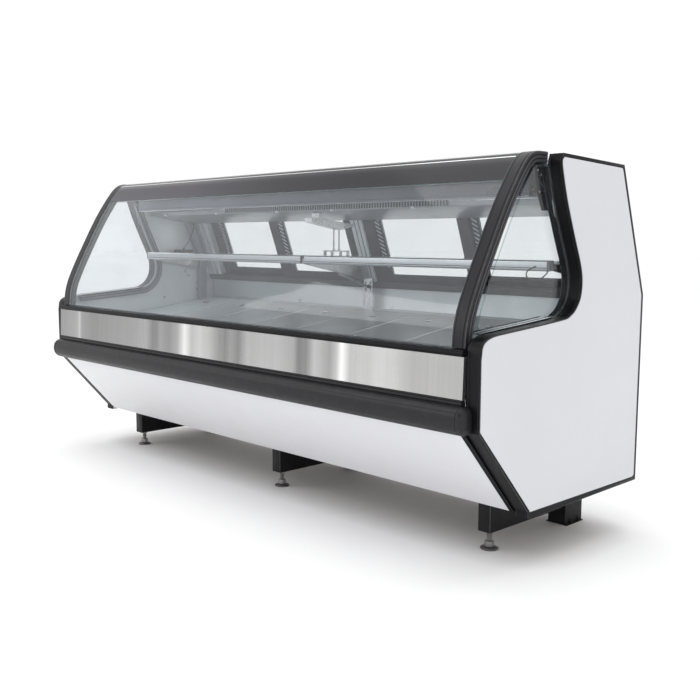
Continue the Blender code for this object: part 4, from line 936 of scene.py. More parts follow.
# Bright trims along the rear of the band, where the pane is clamped; their bright lines also stand in for highlights on
# the curved glass, so they are partly painted highlight.
bm = bmesh.new()
for z0, width, m in ((1.2385, 0.0022, 0), (1.2450, 0.0014, 1), (1.2515, 0.0030, 0)):
    seg = cut_path(GLASS, z0, z0 + width)
    if len(seg) >= 2:
        along(seg, [(-1.1470, -0.00005), (1.1470, -0.00005), (1.1470, 0.0009), (-1.1470, 0.0009)], bm, [m, m, m, m], (m, m))
make("band_trim", bm, [M["trim_bright"], M["dark_gap"]], "front_glass_lid", angle=25, replaces="glass_top_band")

# ------------------------------------------------------------------ the sill
bm = bmesh.new()
sill = [(-0.3655, 0.6692), (-0.3664, 0.6720), (-0.3656, 0.6726), (-0.3656, 0.6734), (-0.3666, 0.6742), (-0.3664, 0.6790), (-0.3656, 0.6796),
        (-0.3653, 0.6808), (-0.3652, 0.6840), (-0.3636, 0.6862), (-0.3600, 0.6872), (-0.3470, 0.6872), (-0.3462, 0.6858), (-0.3446, 0.6858),
        (-0.3438, 0.6872), (-0.3240, 0.6872), (-0.3232, 0.6858), (-0.3216, 0.6858), (-0.3208, 0.6872), (-0.3060, 0.6872), (-0.3016, 0.6862),
        (-0.3000, 0.6836), (-0.3000, 0.6692)]
loft(bm, [[V(x, a, b) for a, b in sill] for x in (-1.2034, -0.6, 0.0, 0.6, 1.2034)])
for side in (1, -1):
    add_screw(bm, V(side * 1.196, -0.3180, 0.6870), (0, 0, 1), 0.0036, 1, 2)
for k in range(7):
    add_screw(bm, V(-1.08 + 0.36 * k, -0.3120, 0.6870), (0, 0, 1), 0.0032, 1, 2)
make("sill_profile", bm, [M["abs"], M["screw"], M["dark_gap"]], angle=25, replaces="glass_sill")
bm = bmesh.new()
add_prism(bm, [(-0.3500, 0.6870), (-0.3505, 0.6884), (-0.3488, 0.6888), (-0.3420, 0.6886), (-0.3410, 0.6870)], -1.1460, 1.1460, 0)
make("sill_gasket", bm, [M["seal"]], bevel=0.0003, segs=1, replaces="glass_sill")

# ---------------------------------------------------------------- the fascia
bm = bmesh.new()
face = [(-0.3506, 0.6684), (-0.3600, 0.6684), (-0.3617, 0.6676), (-0.3621, 0.6655), (-0.3644, 0.6070), (-0.3668, 0.5484), (-0.3668, 0.5466),
        (-0.3655, 0.5459), (-0.3506, 0.5459)]
xs = [-1.2054, -1.2050] + [-1.20 + 0.1 * k for k in range(25)] + [1.2050, 1.2054]
loft(bm, [[V(x, a, b) for a, b in (face if abs(x) < 1.2052 else shrink(face, 0.0004))] for x in xs], mat=[1] + [0] * (len(xs) - 3) + [1],
     cap_mats=(1, 1))
make("fascia_sheet", bm, [M["stainless"], M["steel_edge"]], angle=25, replaces="front_fascia")

# ---------------------------------------------------------------- the bumper
BUMPER = [(-0.3690, 0.5285), (-0.3780, 0.5255), (-0.3880, 0.5185), (-0.3945, 0.5070), (-0.3970, 0.4930), (-0.3970, 0.4790),
          (-0.3940, 0.4660), (-0.3870, 0.4550), (-0.3770, 0.4480), (-0.3650, 0.4448), (-0.3505, 0.4445)]
NOSE = catmull(BUMPER, 4)
flange = [(-0.3505, 0.5453), (-0.3680, 0.5453), (-0.3690, 0.5446), (-0.3690, 0.5420), (-0.3682, 0.5412), (-0.3682, 0.5404), (-0.3690, 0.5396),
          (-0.3690, 0.5330), (-0.3676, 0.5318), (-0.3676, 0.5304), (-0.3690, 0.5292)]
# Two shallow grooves along the nose.
nose2 = []
for i, p in enumerate(NOSE):
    nose2.append(p)
grooved = []
for i, p in enumerate(NOSE):
    d = 0.0
    if 9 <= i <= 10 or 27 <= i <= 28:
        d = 0.0009
    a, b = NOSE[max(i - 1, 0)], NOSE[min(i + 1, len(NOSE) - 1)]
    nrm = Vector((b[1] - a[1], -(b[0] - a[0]))).normalized()
    if nrm.x < 0:
        nrm = -nrm
    grooved.append((p[0] + d * nrm.x, p[1] + d * nrm.y))
ring = flange + grooved[1:]
bm = bmesh.new()
xs = [-1.2036, -1.2030] + [-1.2 + 0.2 * k for k in range(13)] + [1.2030, 1.2036]
made = []
for x in xs:
    made.append([bm.verts.new(V(x, a, b)) for a, b in (ring if abs(x) < 1.2033 else shrink(ring, 0.0006))])
n = len(ring)
# Faces 3 to 5 and 7 to 9 are the two grooves in the flange, painted near-black as shade.
for j, (p, q) in enumerate(zip(made, made[1:])):
    for i in range(n):
        f = bm.faces.new((p[i], p[(i + 1) % n], q[(i + 1) % n], q[i]))
        f.material_index = 1 if i in (3, 4, 5, 7, 8, 9) else 0
bm.faces.new(made[0][::-1])
bm.faces.new(made[-1])
make("bumper_extrusion", bm, [M["bumper"], M["dark_gap"]], angle=24, replaces="bumper_rail")
CAP_RINGS = ((0.0004, 0.985, 0.985), (0.0010, 1.0, 1.0), (0.0080, 0.98, 1.0), (0.0120, 0.95, 0.992), (0.0160, 0.90, 0.98),
             (0.0188, 0.84, 0.96), (0.0210, 0.76, 0.93), (0.0226, 0.66, 0.90), (0.0238, 0.57, 0.87), (0.0245, 0.48, 0.84))
for side, tag in ((1, "right"), (-1, "left")):
    bm = bmesh.new()
    rings = []
    for dx, kz, ky in CAP_RINGS:
        rings.append([V(side * (X_IN + dx), -0.3505 + (y + 0.3505) * ky, 0.4855 + (z - 0.4855) * kz) for y, z in [(-0.3505, 0.5265)] + NOSE])
    loft(bm, rings, mat=0, cap_mats=(1, 0))
    for z in (0.5085, 0.4640):
        add_screw(bm, V(side * (X_IN + 0.0125), -0.3925 if z > 0.48 else -0.3900, z), (side * 0.25, -1, 0.12 if z > 0.48 else -0.25), 0.0026, 1, 1)
    make("bumper_end_" + tag, bm, [M["bumper_cap"], M["dark_gap"]], angle=40, replaces="bumper_cap_" + tag)

# ------------------------------------------------------ lower front panel
bm = bmesh.new()
top, low = Vector(PANEL_TOP), Vector(PANEL_LOW)
away = -DIAG_N
rows = []
for t, d in ((0.0, -0.0010), (0.0020, -0.0002), (0.0060, 0.0), (0.5, 0.0), (0.9940, 0.0), (0.9980, -0.0002), (1.0, -0.0010)):
    p = top + (low - top) * t - away * (-d)
    rows.append((p.x, p.y))
ring = rows + [(PANEL_LOW[0] + 0.0100, PANEL_LOW[1] + 0.0032), (PANEL_TOP[0] + 0.0100, PANEL_TOP[1] - 0.0014)]
xs = [-1.1870, -1.1862] + [-1.1 + 0.2 * k for k in range(12)] + [1.1862, 1.1870]
loft(bm, [[V(x, a, b) for a, b in (ring if abs(x) < 1.1866 else shrink(ring, 0.0006))] for x in xs], mat=0, cap_mats=(1, 1))
make("front_panel_sheet", bm, [M["white_front"], M["white_edge"]], angle=24, replaces="lower_front_panel")

# ------------------------------------------------------------- insulated tub
refine("insulated_tub", [M["liner"], M["liner_wall_lit"]], "tub_liner", bevel=0.0025, segs=3, limit=25)
bm = bmesh.new()
# Fine steps at the front and the rear of the well, where the pans rest.
for s0, s1 in ((-0.3190, -0.3172), (0.4592, 0.4602)):
    z = deck(s0)
    add_prism(bm, [(s0, z - 0.030), (s1, z - 0.030), (s1, z - 0.0040), (s0, z - 0.0034)], -1.2025, 1.2025, 0)
make("pan_rests", bm, [M["pan"]], bevel=0.0004, segs=1, replaces="insulated_tub")

# ----------------------------------------------------------------- the pans
PAN_FRONT, PAN_REAR, PAN_HALF, PAN_GAP = -0.3165, 0.4585, 1.1975, 0.0014
HOLE_Y, HOLE_R = 0.345, 0.0125
pitch = 2 * PAN_HALF / 8


def pan_piece(i):
    """A folded sheet pan: top with a rolled finger hole, eased folds and turned-down skirts."""
    x0 = -PAN_HALF + i * pitch + PAN_GAP / 2
    x1 = -PAN_HALF + (i + 1) * pitch - PAN_GAP / 2
    xm = (x0 + x1) / 2
    bm = bmesh.new()
    t, r, skirt = 0.0016, 0.0030, 0.0250

    def outline(inset):
        a0, a1, b0, b1 = x0 + inset, x1 - inset, PAN_FRONT + inset, PAN_REAR - inset
        if i == 0:
            c, d = -1.1640 + inset, 0.3930 - inset
            return [(a0, b0), (a1, b0), (a1, b1), (c, b1), (c, d), (a0, d)]
        return [(a0, b0), (a1, b0), (a1, b1), (a0, b1)]

    def ring(inset, drop):
        return [V(x, s, deck(s) - drop) for x, s in round_corners(outline(inset), 0.006, 4)]

    prof = [(t, skirt), (0.0, skirt), (0.0, r), (0.0003, r * 0.55), (0.0009, r * 0.24), (0.0017, r * 0.06), (r, 0.0)]
    rings = [[bm.verts.new(p) for p in ring(a, b)] for a, b in prof]
    n = len(rings[0])
    for j, (p, q) in enumerate(zip(rings, rings[1:])):
        for k in range(n):
            bm.faces.new((p[k], p[(k + 1) % n], q[(k + 1) % n], q[k])).material_index = 1 if j >= 3 else 0
    under = [[bm.verts.new(p) for p in ring(a, b)] for a, b in ((t, skirt), (t, r), (t + 0.0015, t + 0.0003))]
    bm.verts.ensure_lookup_table()
    for k in range(n):
        bm.faces.new((under[0][k], under[0][(k + 1) % n], under[1][(k + 1) % n], under[1][k]))
        bm.faces.new((under[1][k], under[1][(k + 1) % n], under[2][(k + 1) % n], under[2][k]))
    m = 28
    circ = lambda rad, drop: [bm.verts.new(V(xm + rad * math.cos(2 * math.pi * k / m), HOLE_Y + rad * math.sin(2 * math.pi * k / m),
                                             deck(HOLE_Y + rad * math.sin(2 * math.pi * k / m)) - drop)) for k in range(m)]
    # Top sheet: fan between the outer ring and the hole's outer ring.
    holes = [circ(HOLE_R + 0.0046, 0.0), circ(HOLE_R + 0.0032, 0.0002), circ(HOLE_R + 0.0016, 0.0008), circ(HOLE_R + 0.0003, 0.0022), circ(HOLE_R, 0.0060),
             circ(HOLE_R + 0.0012, 0.0060), circ(HOLE_R + 0.0016, 0.0026)]
    for j, (p, q) in enumerate(zip(holes, holes[1:])):
        for k in range(m):
            bm.faces.new((p[k], p[(k + 1) % m], q[(k + 1) % m], q[k])).material_index = 2 if j < 2 else 3
    for outer, inner in ((rings[-1], holes[0]), (under[2], holes[-1])):
        edges = []
        for loop in (outer, inner):
            for k in range(len(loop)):
                e = bm.edges.get((loop[k], loop[(k + 1) % len(loop)]))
                edges.append(e if e else bm.edges.new((loop[k], loop[(k + 1) % len(loop)])))
        bmesh.ops.triangle_fill(bm, use_beauty=True, edges=edges)
    for a, b in zip(rings[0], under[0]):
        pass
    bmesh.ops.remove_doubles(bm, verts=bm.verts, dist=1e-5)
    make("pan_%d" % (i + 1), bm, [M["pan"], M["deck_edge"], M["hole_rim"], M["hole_inside"]], "deck_pan_%d" % (i + 1), angle=35,
         replaces="deck_pan_%d" % (i + 1))


for i in range(8):
    pan_piece(i)

# ------------------------------------------------------------------- canopy
bm = bmesh.new()
arc = []
for k in range(25):
    a = math.radians(114 - k * 8.2 / 3 + 0)
    arc.append((PIVOT[0] + 0.0915 * math.cos(a), PIVOT[1] + 0.0915 * math.sin(a)))
x_nose = arc[0][0]
z_in = 1.2120
outline = ([(x_nose + 0.0005, 1.1252), (x_nose, 1.1262), (x_nose, 1.1345), (x_nose + 0.0010, 1.1352), (x_nose + 0.0010, 1.1362), (x_nose, 1.1370), (x_nose, 1.1800)]
           + arc + [(0.1400, 1.2250), (0.1400, 1.2120), (0.0960, 1.2120), (0.0312, 1.2120), (0.0312, 1.1800), (0.0312, 1.1370),
                    (0.0312, 1.1250), (0.0300, 1.1241), (x_nose + 0.0020, 1.1241)])
xs = [-1.1338, -1.1332] + [-1.1 + 0.2 * k for k in range(12)] + [1.1332, 1.1338]
made = []
for x in xs:
    made.append([bm.verts.new(V(x, a, b)) for a, b in (outline if abs(x) < 1.1335 else shrink(outline, 0.0005))])
n = len(outline)
# Face 3 is a small groove along the nose, painted near-black as shade; the two faces at the bottom take the bright lip.
for p, q in zip(made, made[1:]):
    for i in range(n):
        f = bm.faces.new((p[i], p[(i + 1) % n], q[(i + 1) % n], q[i]))
        f.material_index = 1 if i in (0, n - 1) else 2 if i in (3,) else 0
bm.faces.new(made[0][::-1])
bm.faces.new(made[-1])
make("canopy_nose", bm, [M["canopy"], M["canopy_lip"], M["dark_gap"]], angle=30, replaces="canopy_top")
bm = bmesh.new()
slab = [(0.1275, 1.2320), (0.3640, 1.2301), (0.3654, 1.2290), (0.3700, 1.2240), (0.3300, 1.2240), (0.3300, 1.2060), (0.1275, 1.2060)]
loft(bm, [[V(x, a, b) for a, b in slab] for x in (-1.2034, -0.6, 0.0, 0.6, 1.2034)])
make("canopy_slab", bm, [M["canopy_top"]], bevel=0.0008, segs=2, replaces="canopy_top")
bm = bmesh.new()
for x in (-1.15, -0.77, -0.385, 0.0, 0.385, 0.77, 1.15):
    add_screw(bm, V(x, 0.350, 1.2299), (0, 0.008, 1), 0.0042, 0, 1)
    add_screw(bm, V(x, 0.150, 1.2317), (0, 0.008, 1), 0.0042, 0, 1)
# Seam where the nose sheet meets the slab.
add_prism(bm, [(0.1396, 1.2316), (0.1420, 1.2321), (0.1444, 1.2316)], -1.1330, 1.1330, 0)
make("canopy_screws", bm, [M["screw"], M["dark_gap"]], angle=30, replaces="canopy_top")
bm = bmesh.new()
# Wiring duct of the lamp line along the back of the front wall.
add_prism(bm, [(0.0314, 1.1690), (0.0420, 1.1690), (0.0440, 1.1710), (0.0440, 1.1900), (0.0420, 1.1920), (0.0314, 1.1920)], -1.120, 1.120, 0)
make("canopy_duct", bm, [M["white_edge"]], bevel=0.0006, replaces="canopy_top")

# Tray under the coil, its clips and its corner duct.
bm = bmesh.new()
tray = [(0.1270, 1.1248), (0.1270, 1.1076), (0.1275, 1.1064), (0.1290, 1.1059), (0.3584, 1.0734), (0.3597, 1.0738), (0.3600, 1.0750), (0.3600, 1.1048),
        (0.3562, 1.1048), (0.3562, 1.0784), (0.1310, 1.1097), (0.1310, 1.1248)]
loft(bm, [[V(x, a, b) for a, b in tray] for x in [-1.1998] + [-1.1 + 0.2 * k for k in range(12)] + [1.1998]])
make("tray_sheet", bm, [M["tray"]], bevel=0.0005, segs=1, replaces="drip_tray", limit=35)
bm = bmesh.new()
duct = [(0.4360, 0.5290), (0.4360, 0.9000), (0.3566, 1.0764), (0.3204, 1.0806), (0.3985, 0.9000), (0.3985, 0.5290)]
loft(bm, [[V(x, a, b) for a, b in (duct if d == 0 else shrink(duct, d))] for x, d in ((-1.1998, 0.0), (-1.1690, 0.0), (-1.1682, 0.0008))], mat=0)
for a, b in ((0.4175, 0.62), (0.4175, 0.86), (0.3740, 1.000)):
    add_screw(bm, V(-1.1684, a, b), (1, 0, 0), 0.0036, 1, 2)
make("corner_duct", bm, [M["tray"], M["screw"], M["dark_gap"]], angle=30, replaces="drip_tray")
bm = bmesh.new()
for x in (-1.062, -0.643, -0.209, 0.132, 0.560):
    add_prism(bm, [(0.1240, 1.1120), (0.1240, 1.1075), (0.1262, 1.1046), (0.1330, 1.1038), (0.1344, 1.1050), (0.1290, 1.1064), (0.1268, 1.1080),
                   (0.1268, 1.1120)], x - 0.0075, x + 0.0075, 0)
    add_box(bm, (x - 0.0050, x + 0.0050), (0.1212, 0.1242), (1.1078, 1.1112), 0)
make("tray_clips", bm, [M["clip"]], bevel=0.0004, segs=1, replaces="drip_tray")

# Row of fine upright slots along the tray's front lip: a dark backing, painted as the shade behind the slots, and the
# bars between them.
bm = bmesh.new()
add_box(bm, (-0.575, 0.727), (0.1254, 0.1264), (1.1106, 1.1336), 1)
for k in range(94):
    x = -0.575 + k * 0.0140
    ring = [(x, 0.1256), (x + 0.0008, 0.1238), (x + 0.0052, 0.1238), (x + 0.0060, 0.1256)]
    loft(bm, [[V(p, q, z) for p, q in ring] for z in (1.1110, 1.1332)])
add_box(bm, (-0.577, 0.731), (0.1238, 0.1264), (1.1332, 1.1346), 0)
add_box(bm, (-0.577, 0.731), (0.1238, 0.1264), (1.1094, 1.1110), 0)
make("tray_grille", bm, [M["grille_bar"], M["hole_inside"]], angle=35, replaces="drip_tray")

# Ceiling coil: end plates, fins on a fine pitch and the tubes they sit on.
bm = bmesh.new()
for x in (-1.0990, 1.0975):
    add_box(bm, (x, x + 0.0015), (0.1505, 0.3195), (1.1352, 1.2015), 0)
n_fin = 157
for k in range(n_fin):
    x = -1.0950 + k * 0.0140
    wave = 0.0004 * math.sin(k * 2.3)
    add_box(bm, (x + wave, x + wave + 0.0005), (0.1525, 0.3175), (1.1356, 1.1990), 1)
make("coil_fins", bm, [M["zinc_dark"], M["fin"]], angle=30, replaces="evaporator_coil")
bm = bmesh.new()
for j in range(5):
    for i, z in enumerate((1.1560, 1.1810)):
        s = 0.1700 + 0.0330 * j
        add_lathe(bm, [(0.0, 0.0), (0.0048, 0.0), (0.0048, 2.196), (0.0, 2.196)], V(-1.098, s + 0.008 * i, z), (1, 0, 0), 12, 0)
make("coil_tubes", bm, [M["copper"]], angle=30, replaces="evaporator_coil")

# --------------------------------------------------------- rear door surround
FULL = 1.2034
DOOR_W, GRIP, PLAIN_STILE, RAIL_LOW, RAIL_TOP = 0.560, 0.100, 0.050, 0.039, 0.035
DOOR_LOW, DOOR_HIGH = 0.0090, 0.4080
REAR_DEPTH, MULLION = 0.0460, 0.0345
for node, base, lip, name in (("door_track_bottom", (-0.0100, 0.0070), 0.0180, "track_lower"), ("door_track_top", (0.4400, 0.4130), 0.3990, "track_upper")):
    n0, n1 = 0.0020, REAR_DEPTH
    ribs = [(n0, 0.0045), (0.0216, 0.0246), (0.0422, n1)]
    sgn = 1 if lip > base[1] else -1
    pts = [(base[0], n0)]
    for j, (a, b) in enumerate(ribs):
        pts += [(lip - 0.0006 * sgn, a), (lip, a + 0.0005), (lip, b - 0.0005), (lip - 0.0006 * sgn, b)]
        if j < 2:
            pts += [(base[1] + 0.0006 * sgn, b), (base[1], b + 0.0010), (base[1], ribs[j + 1][0] - 0.0010), (base[1] + 0.0006 * sgn, ribs[j + 1][0])]
    pts.append((base[0], n1))
    bm = bmesh.new()
    loft(bm, [[slant_v(x, s, q) for s, q in pts] for x in (-FULL, -0.6, 0.0, 0.6, FULL)])
    make(name, bm, [M["track"]], angle=30, replaces=node)


def post(name, node, x0, x1):
    """Upright of the door surround: bright face towards the well with two grooves, their insides painted dark as shade.
    """
    bm = bmesh.new()
    w = x1 - x0
    face = REAR_DEPTH
    xs = [(x0, 0.0022), (x0, face - 0.0012), (x0 + 0.0010, face), (x0 + 0.30 * w, face), (x0 + 0.30 * w + 0.0014, face - 0.0024),
          (x0 + 0.30 * w + 0.0034, face - 0.0024), (x0 + 0.30 * w + 0.0048, face), (x0 + 0.66 * w, face), (x0 + 0.66 * w + 0.0014, face - 0.0024),
          (x0 + 0.66 * w + 0.0034, face - 0.0024), (x0 + 0.66 * w + 0.0048, face), (x1 - 0.0010, face), (x1, face - 0.0012), (x1, 0.0022)]
    rings = [[slant_v(x, s, q) for x, q in xs] for s in (0.0195, 0.10, 0.20, 0.30, 0.3975)]
    made = [[bm.verts.new(p) for p in r] for r in rings]
    n = len(xs)
    for p, q in zip(made, made[1:]):
        for i in range(n):
            f = bm.faces.new((p[i], p[(i + 1) % n], q[(i + 1) % n], q[i]))
            f.material_index = 1 if i in (3, 4, 5, 7, 8, 9) else 0
    bm.faces.new(made[0][::-1])
    bm.faces.new(made[-1])
    for s in (0.045, 0.372):
        p = slant_v((x0 + x1) / 2 - 0.0002, s, face)
        q = slant_v((x0 + x1) / 2 - 0.0002, s, face + 1)
        add_screw(bm, p, q - p, 0.0038, 2, 3)
    make(name, bm, [M["aluminium_up"], M["post_groove_painted_shade"], M["screw"], M["dark_gap"]], angle=30, replaces=node)


OUT = MULLION + 2 * DOOR_W - 0.065 + 0.002
post("post_centre", "door_mullion", -MULLION, MULLION)
post("post_right", "door_jamb_right", OUT, X_IN - 0.0006)
post("post_left", "door_jamb_left", -X_IN + 0.0006, -OUT)

BAY = MULLION + 2 * DOOR_W - 0.065
for num, x0, lane in ((1, -BAY, (0.0060, 0.0200)), (2, -MULLION - 0.001 - DOOR_W, (0.0262, 0.0402)), (3, MULLION + 0.001, (0.0262, 0.0402)),
                      (4, BAY - DOOR_W, (0.0060, 0.0200))):
    x1 = x0 + DOOR_W
    wa, wb = x0 + GRIP, x1 - PLAIN_STILE
    sa, sb = DOOR_LOW + RAIL_LOW, DOOR_HIGH - RAIL_TOP
    n0, n1 = lane
    body = "rear_door_%d" % num

    def rect(inset, e=0.0):
        return [(x0 + inset, DOOR_LOW + inset), (x1 - inset, DOOR_LOW + inset), (x1 - inset, DOOR_HIGH - inset), (x0 + inset, DOOR_HIGH - inset)]

    def win(grow):
        return round_corners([(wa - grow, sa - grow), (wb + grow, sa - grow), (wb + grow, sb + grow), (wa - grow, sb + grow)], 0.004 + max(0, grow) * 0.5, 5)

    def outer(inset):
        return round_corners(rect(inset), 0.0030, 5)

    bm = bmesh.new()
    rings = [("o", 0.0, n0 + 0.0012), ("o", 0.0, n1 - 0.0012), ("o", 0.0004, n1 - 0.0003), ("o", 0.0014, n1),
             ("w", 0.0110, n1), ("w", 0.0102, n1 - 0.0010), ("w", 0.0090, n1 - 0.0010), ("w", 0.0082, n1), ("w", 0.0014, n1), ("w", 0.0002, n1 - 0.0010),
             ("w", 0.0, n1 - 0.0030), ("w", 0.0, n0 + 0.0030), ("w", 0.0002, n0 + 0.0010), ("w", 0.0014, n0), ("w", 0.0082, n0), ("o", 0.0014, n0),
             ("o", 0.0004, n0 + 0.0003)]
    mats = [0, 1, 1, 0, 2, 2, 2, 0, 1, 1, 0, 1, 1, 0, 0, 1, 1]
    made = []
    for kind, d, q in rings:
        pts = outer(d) if kind == "o" else win(d)
        made.append([bm.verts.new(slant_v(x, s, q)) for x, s in pts])
    n = len(made[0])
    total = len(made)
    for j in range(total):
        p, q = made[j], made[(j + 1) % total]
        for i in range(n):
            bm.faces.new((p[i], p[(i + 1) % n], q[(i + 1) % n], q[i])).material_index = mats[j]
    make("door_frame_%d" % num, bm, [M["door"], M["door_worn"], M["seal"]], body, angle=25, replaces=body)
    # Column of slanted grip ribs beside the window, on both faces of the wide stile, the ribs in a pale finish as
    # painted highlight.
    bm = bmesh.new()
    for face, sgn in ((n1, 1), (n0, -1)):
        for k in range(15):
            s = 0.084 + 0.0185 * k
            pts = [(x0 + 0.0700, s + 0.0130), (x0 + 0.0950, s), (x0 + 0.0950, s + 0.0086), (x0 + 0.0700, s + 0.0216)]
            lo = [slant_v(x, q, face - 0.0004 * sgn) for x, q in pts]
            hi = [slant_v(x + (0.0008 if i in (0, 3) else -0.0008), q + (0.0006 if i < 2 else -0.0006), face + 0.0016 * sgn * (1 if sgn > 0 else 0.6)) for i, (x, q) in enumerate(pts)]
            loft(bm, [lo, hi], mat=0, cap_mats=(0, 0))
        for xa, xb in ((x0 + 0.0672, x0 + 0.0684), (x0 + 0.0966, x0 + 0.0978)):
            a = [slant_v(x, s, face - 0.0003 * sgn) for x, s in ((xa, 0.078), (xb, 0.078), (xb, 0.366), (xa, 0.366))]
            b = [slant_v(x, s, face + 0.0009 * sgn) for x, s in ((xa, 0.078), (xb, 0.078), (xb, 0.366), (xa, 0.366))]
            loft(bm, [a, b], mat=1, cap_mats=(1, 1))
    make("door_grip_%d" % num, bm, [M["door_rib"], M["door"]], body, bevel=0.0003, segs=1, replaces=body)
    # Dark glazing bead and the pane with its edges.
    mid = (n0 + n1) / 2
    bm = bmesh.new()
    for q0, q1 in ((mid + 0.0026, mid + 0.0042), (mid - 0.0042, mid - 0.0026)):
        a, b = win(-0.0002), win(-0.0032)
        ring4 = [[bm.verts.new(slant_v(x, s, q)) for x, s in pts] for pts, q in ((a, q0), (b, q0), (b, (q0 + q1) / 2), (a, q1))]
        for j in range(4):
            p, q = ring4[j], ring4[(j + 1) % 4]
            for i in range(len(p)):
                bm.faces.new((p[i], p[(i + 1) % len(p)], q[(i + 1) % len(p)], q[i]))
    make("door_bead_%d" % num, bm, [M["rubber"]], body, angle=35, replaces=body)
    bm = bmesh.new()
    pane = win(-0.0006)
    rings = []
    for d, q in ((0.0007, mid - 0.0025), (0.0, mid - 0.0019), (0.0, mid + 0.0019), (0.0007, mid + 0.0025)):
        rings.append([slant_v(x, s, q) for x, s in win(-0.0006 - d)])
    loft(bm, rings, mat=1, cap_mats=(0, 0))
    make("door_pane_%d" % num, bm, [M["glass_door"], M["edge_green"]], body, angle=25, replaces="rear_door_glass_%d" % num)

# -------------------------------------------------------------- the shelves
LEAD_RIGHT = [(1.1660, 0.0920, 0.8990), (1.1640, 0.0880, 0.8880), (1.1430, 0.0815, 0.8700), (1.1110, 0.0800, 0.8690),
              (1.0940, 0.0800, 0.8800), (1.0980, 0.0805, 0.8950), (1.1180, 0.0820, 0.9070), (1.1240, 0.0890, 0.9095)]
LEAD_LEFT = [(-1.1600, 0.3560, 1.0725), (-1.1600, 0.3520, 1.0450), (-1.1600, 0.3380, 1.0100), (-1.1610, 0.3150, 0.9720),
             (-1.1640, 0.3000, 0.9500), (-1.1650, 0.2960, 0.9360)]
for side, tag in ((1, "right"), (-1, "left")):
    a, b = (0.0060, 1.1740)
    # Pane with polished, slightly green edges.
    bm = bmesh.new()
    plan = round_corners([(a, 0.1165), (b, 0.1165), (b, 0.3800), (a, 0.3800)], 0.004, 4)
    loft(bm, [[V(side * x, s, z) for x, s in (plan if d == 0 else shrink(plan, d))]
              for z, d in ((0.9180, 0.0006), (0.9186, 0.0), (0.9254, 0.0), (0.9260, 0.0006))], mat=1, cap_mats=(0, 0))
    make("shelf_pane_" + tag, bm, [M["glass_shelf"], M["edge_shelf"]], angle=25, replaces="shelf_" + tag)
    # Lamp channel: folded shell, bright nose along the shelf's edge, end caps, tube and clear cover.
    node = "shelf_lamp_" + tag
    xa, xb = 0.0086, 1.1719
    shell = [(0.0886, 0.8953), (0.0854, 0.8994), (0.0851, 0.9005), (0.0851, 0.9040), (0.0859, 0.9046), (0.0859, 0.9054), (0.0851, 0.9060),
             (0.0851, 0.9236), (0.0861, 0.9254), (0.0890, 0.9288), (0.0900, 0.9289), (0.1116, 0.9289), (0.1155, 0.9263), (0.1157, 0.9152), (0.1090, 0.9151), (0.1012, 0.8952)]
    bm = bmesh.new()
    made = [[bm.verts.new(V(side * x, p, q)) for p, q in shell] for x in (xa, 0.3, 0.6, 0.9, xb)]
    n = len(shell)
    for p, q in zip(made, made[1:]):
        for i in range(n):
            f = bm.faces.new((p[i], p[(i + 1) % n], q[(i + 1) % n], q[i]))
            f.material_index = {3: 2, 4: 2, 5: 2, 7: 1, 8: 1, 9: 1, 15: 3, 14: 3}.get(i, 0)
    bm.faces.new(made[0][::-1])
    bm.faces.new(made[-1])
    make("lamp_shell_" + tag, bm, [M["lamp_shell"], M["trim_bright"], M["dark_gap"], M["diffuser"]], angle=30, replaces=node)
    bm = bmesh.new()
    cap = shell[:3] + shell[7:]
    for x0, x1 in ((0.0081, 0.0125), (1.1650, 1.1724)):
        grown = shrink(cap, -0.0001)
        loft(bm, [[V(side * x, p, q) for p, q in (grown if d == 0 else shrink(grown, d))]
                  for x, d in ((x0, 0.0007), (x0 + 0.0008, 0.0), (x1 - 0.0008, 0.0), (x1, 0.0007))], mat=0, cap_mats=(0, 0))
        add_screw(bm, V(side * (x1 if x1 > 1 else x0), 0.1010, 0.9130), (side if x1 > 1 else -side, 0, 0), 0.0022, 1, 2)
    make("lamp_caps_" + tag, bm, [M["seal"], M["screw"], M["dark_gap"]], angle=30, replaces=node)
    # Tube seen through the underside slot.
    bm = bmesh.new()
    add_lathe(bm, [(0.0, 0.0), (0.0028, 0.0), (0.0030, 0.0040), (0.0030, 1.136), (0.0028, 1.140), (0.0, 1.140)],
              V(side * 0.0200, 0.0985, 0.8978), (side, 0, 0), 16, 0)
    make("lamp_tube_" + tag, bm, [M["tube"]], angle=40, replaces=node)
    if side > 0:
        bm = bmesh.new()
        add_tube(bm, [V(*p) for p in LEAD_RIGHT], 0.0021, 12, 0, 8)
        for at, way in ((V(*LEAD_RIGHT[-1]), (0, 1, 0)), (V(1.1655, 0.0915, 0.8975), (0, 0.2, 1))):
            add_lathe(bm, [(0.0, -0.0040), (0.0028, -0.0040), (0.0034, -0.0010), (0.0034, 0.0010), (0.0, 0.0014)], at, way, 16, 0)
        make("lamp_lead_right", bm, [M["rubber"]], angle=50, replaces=node)

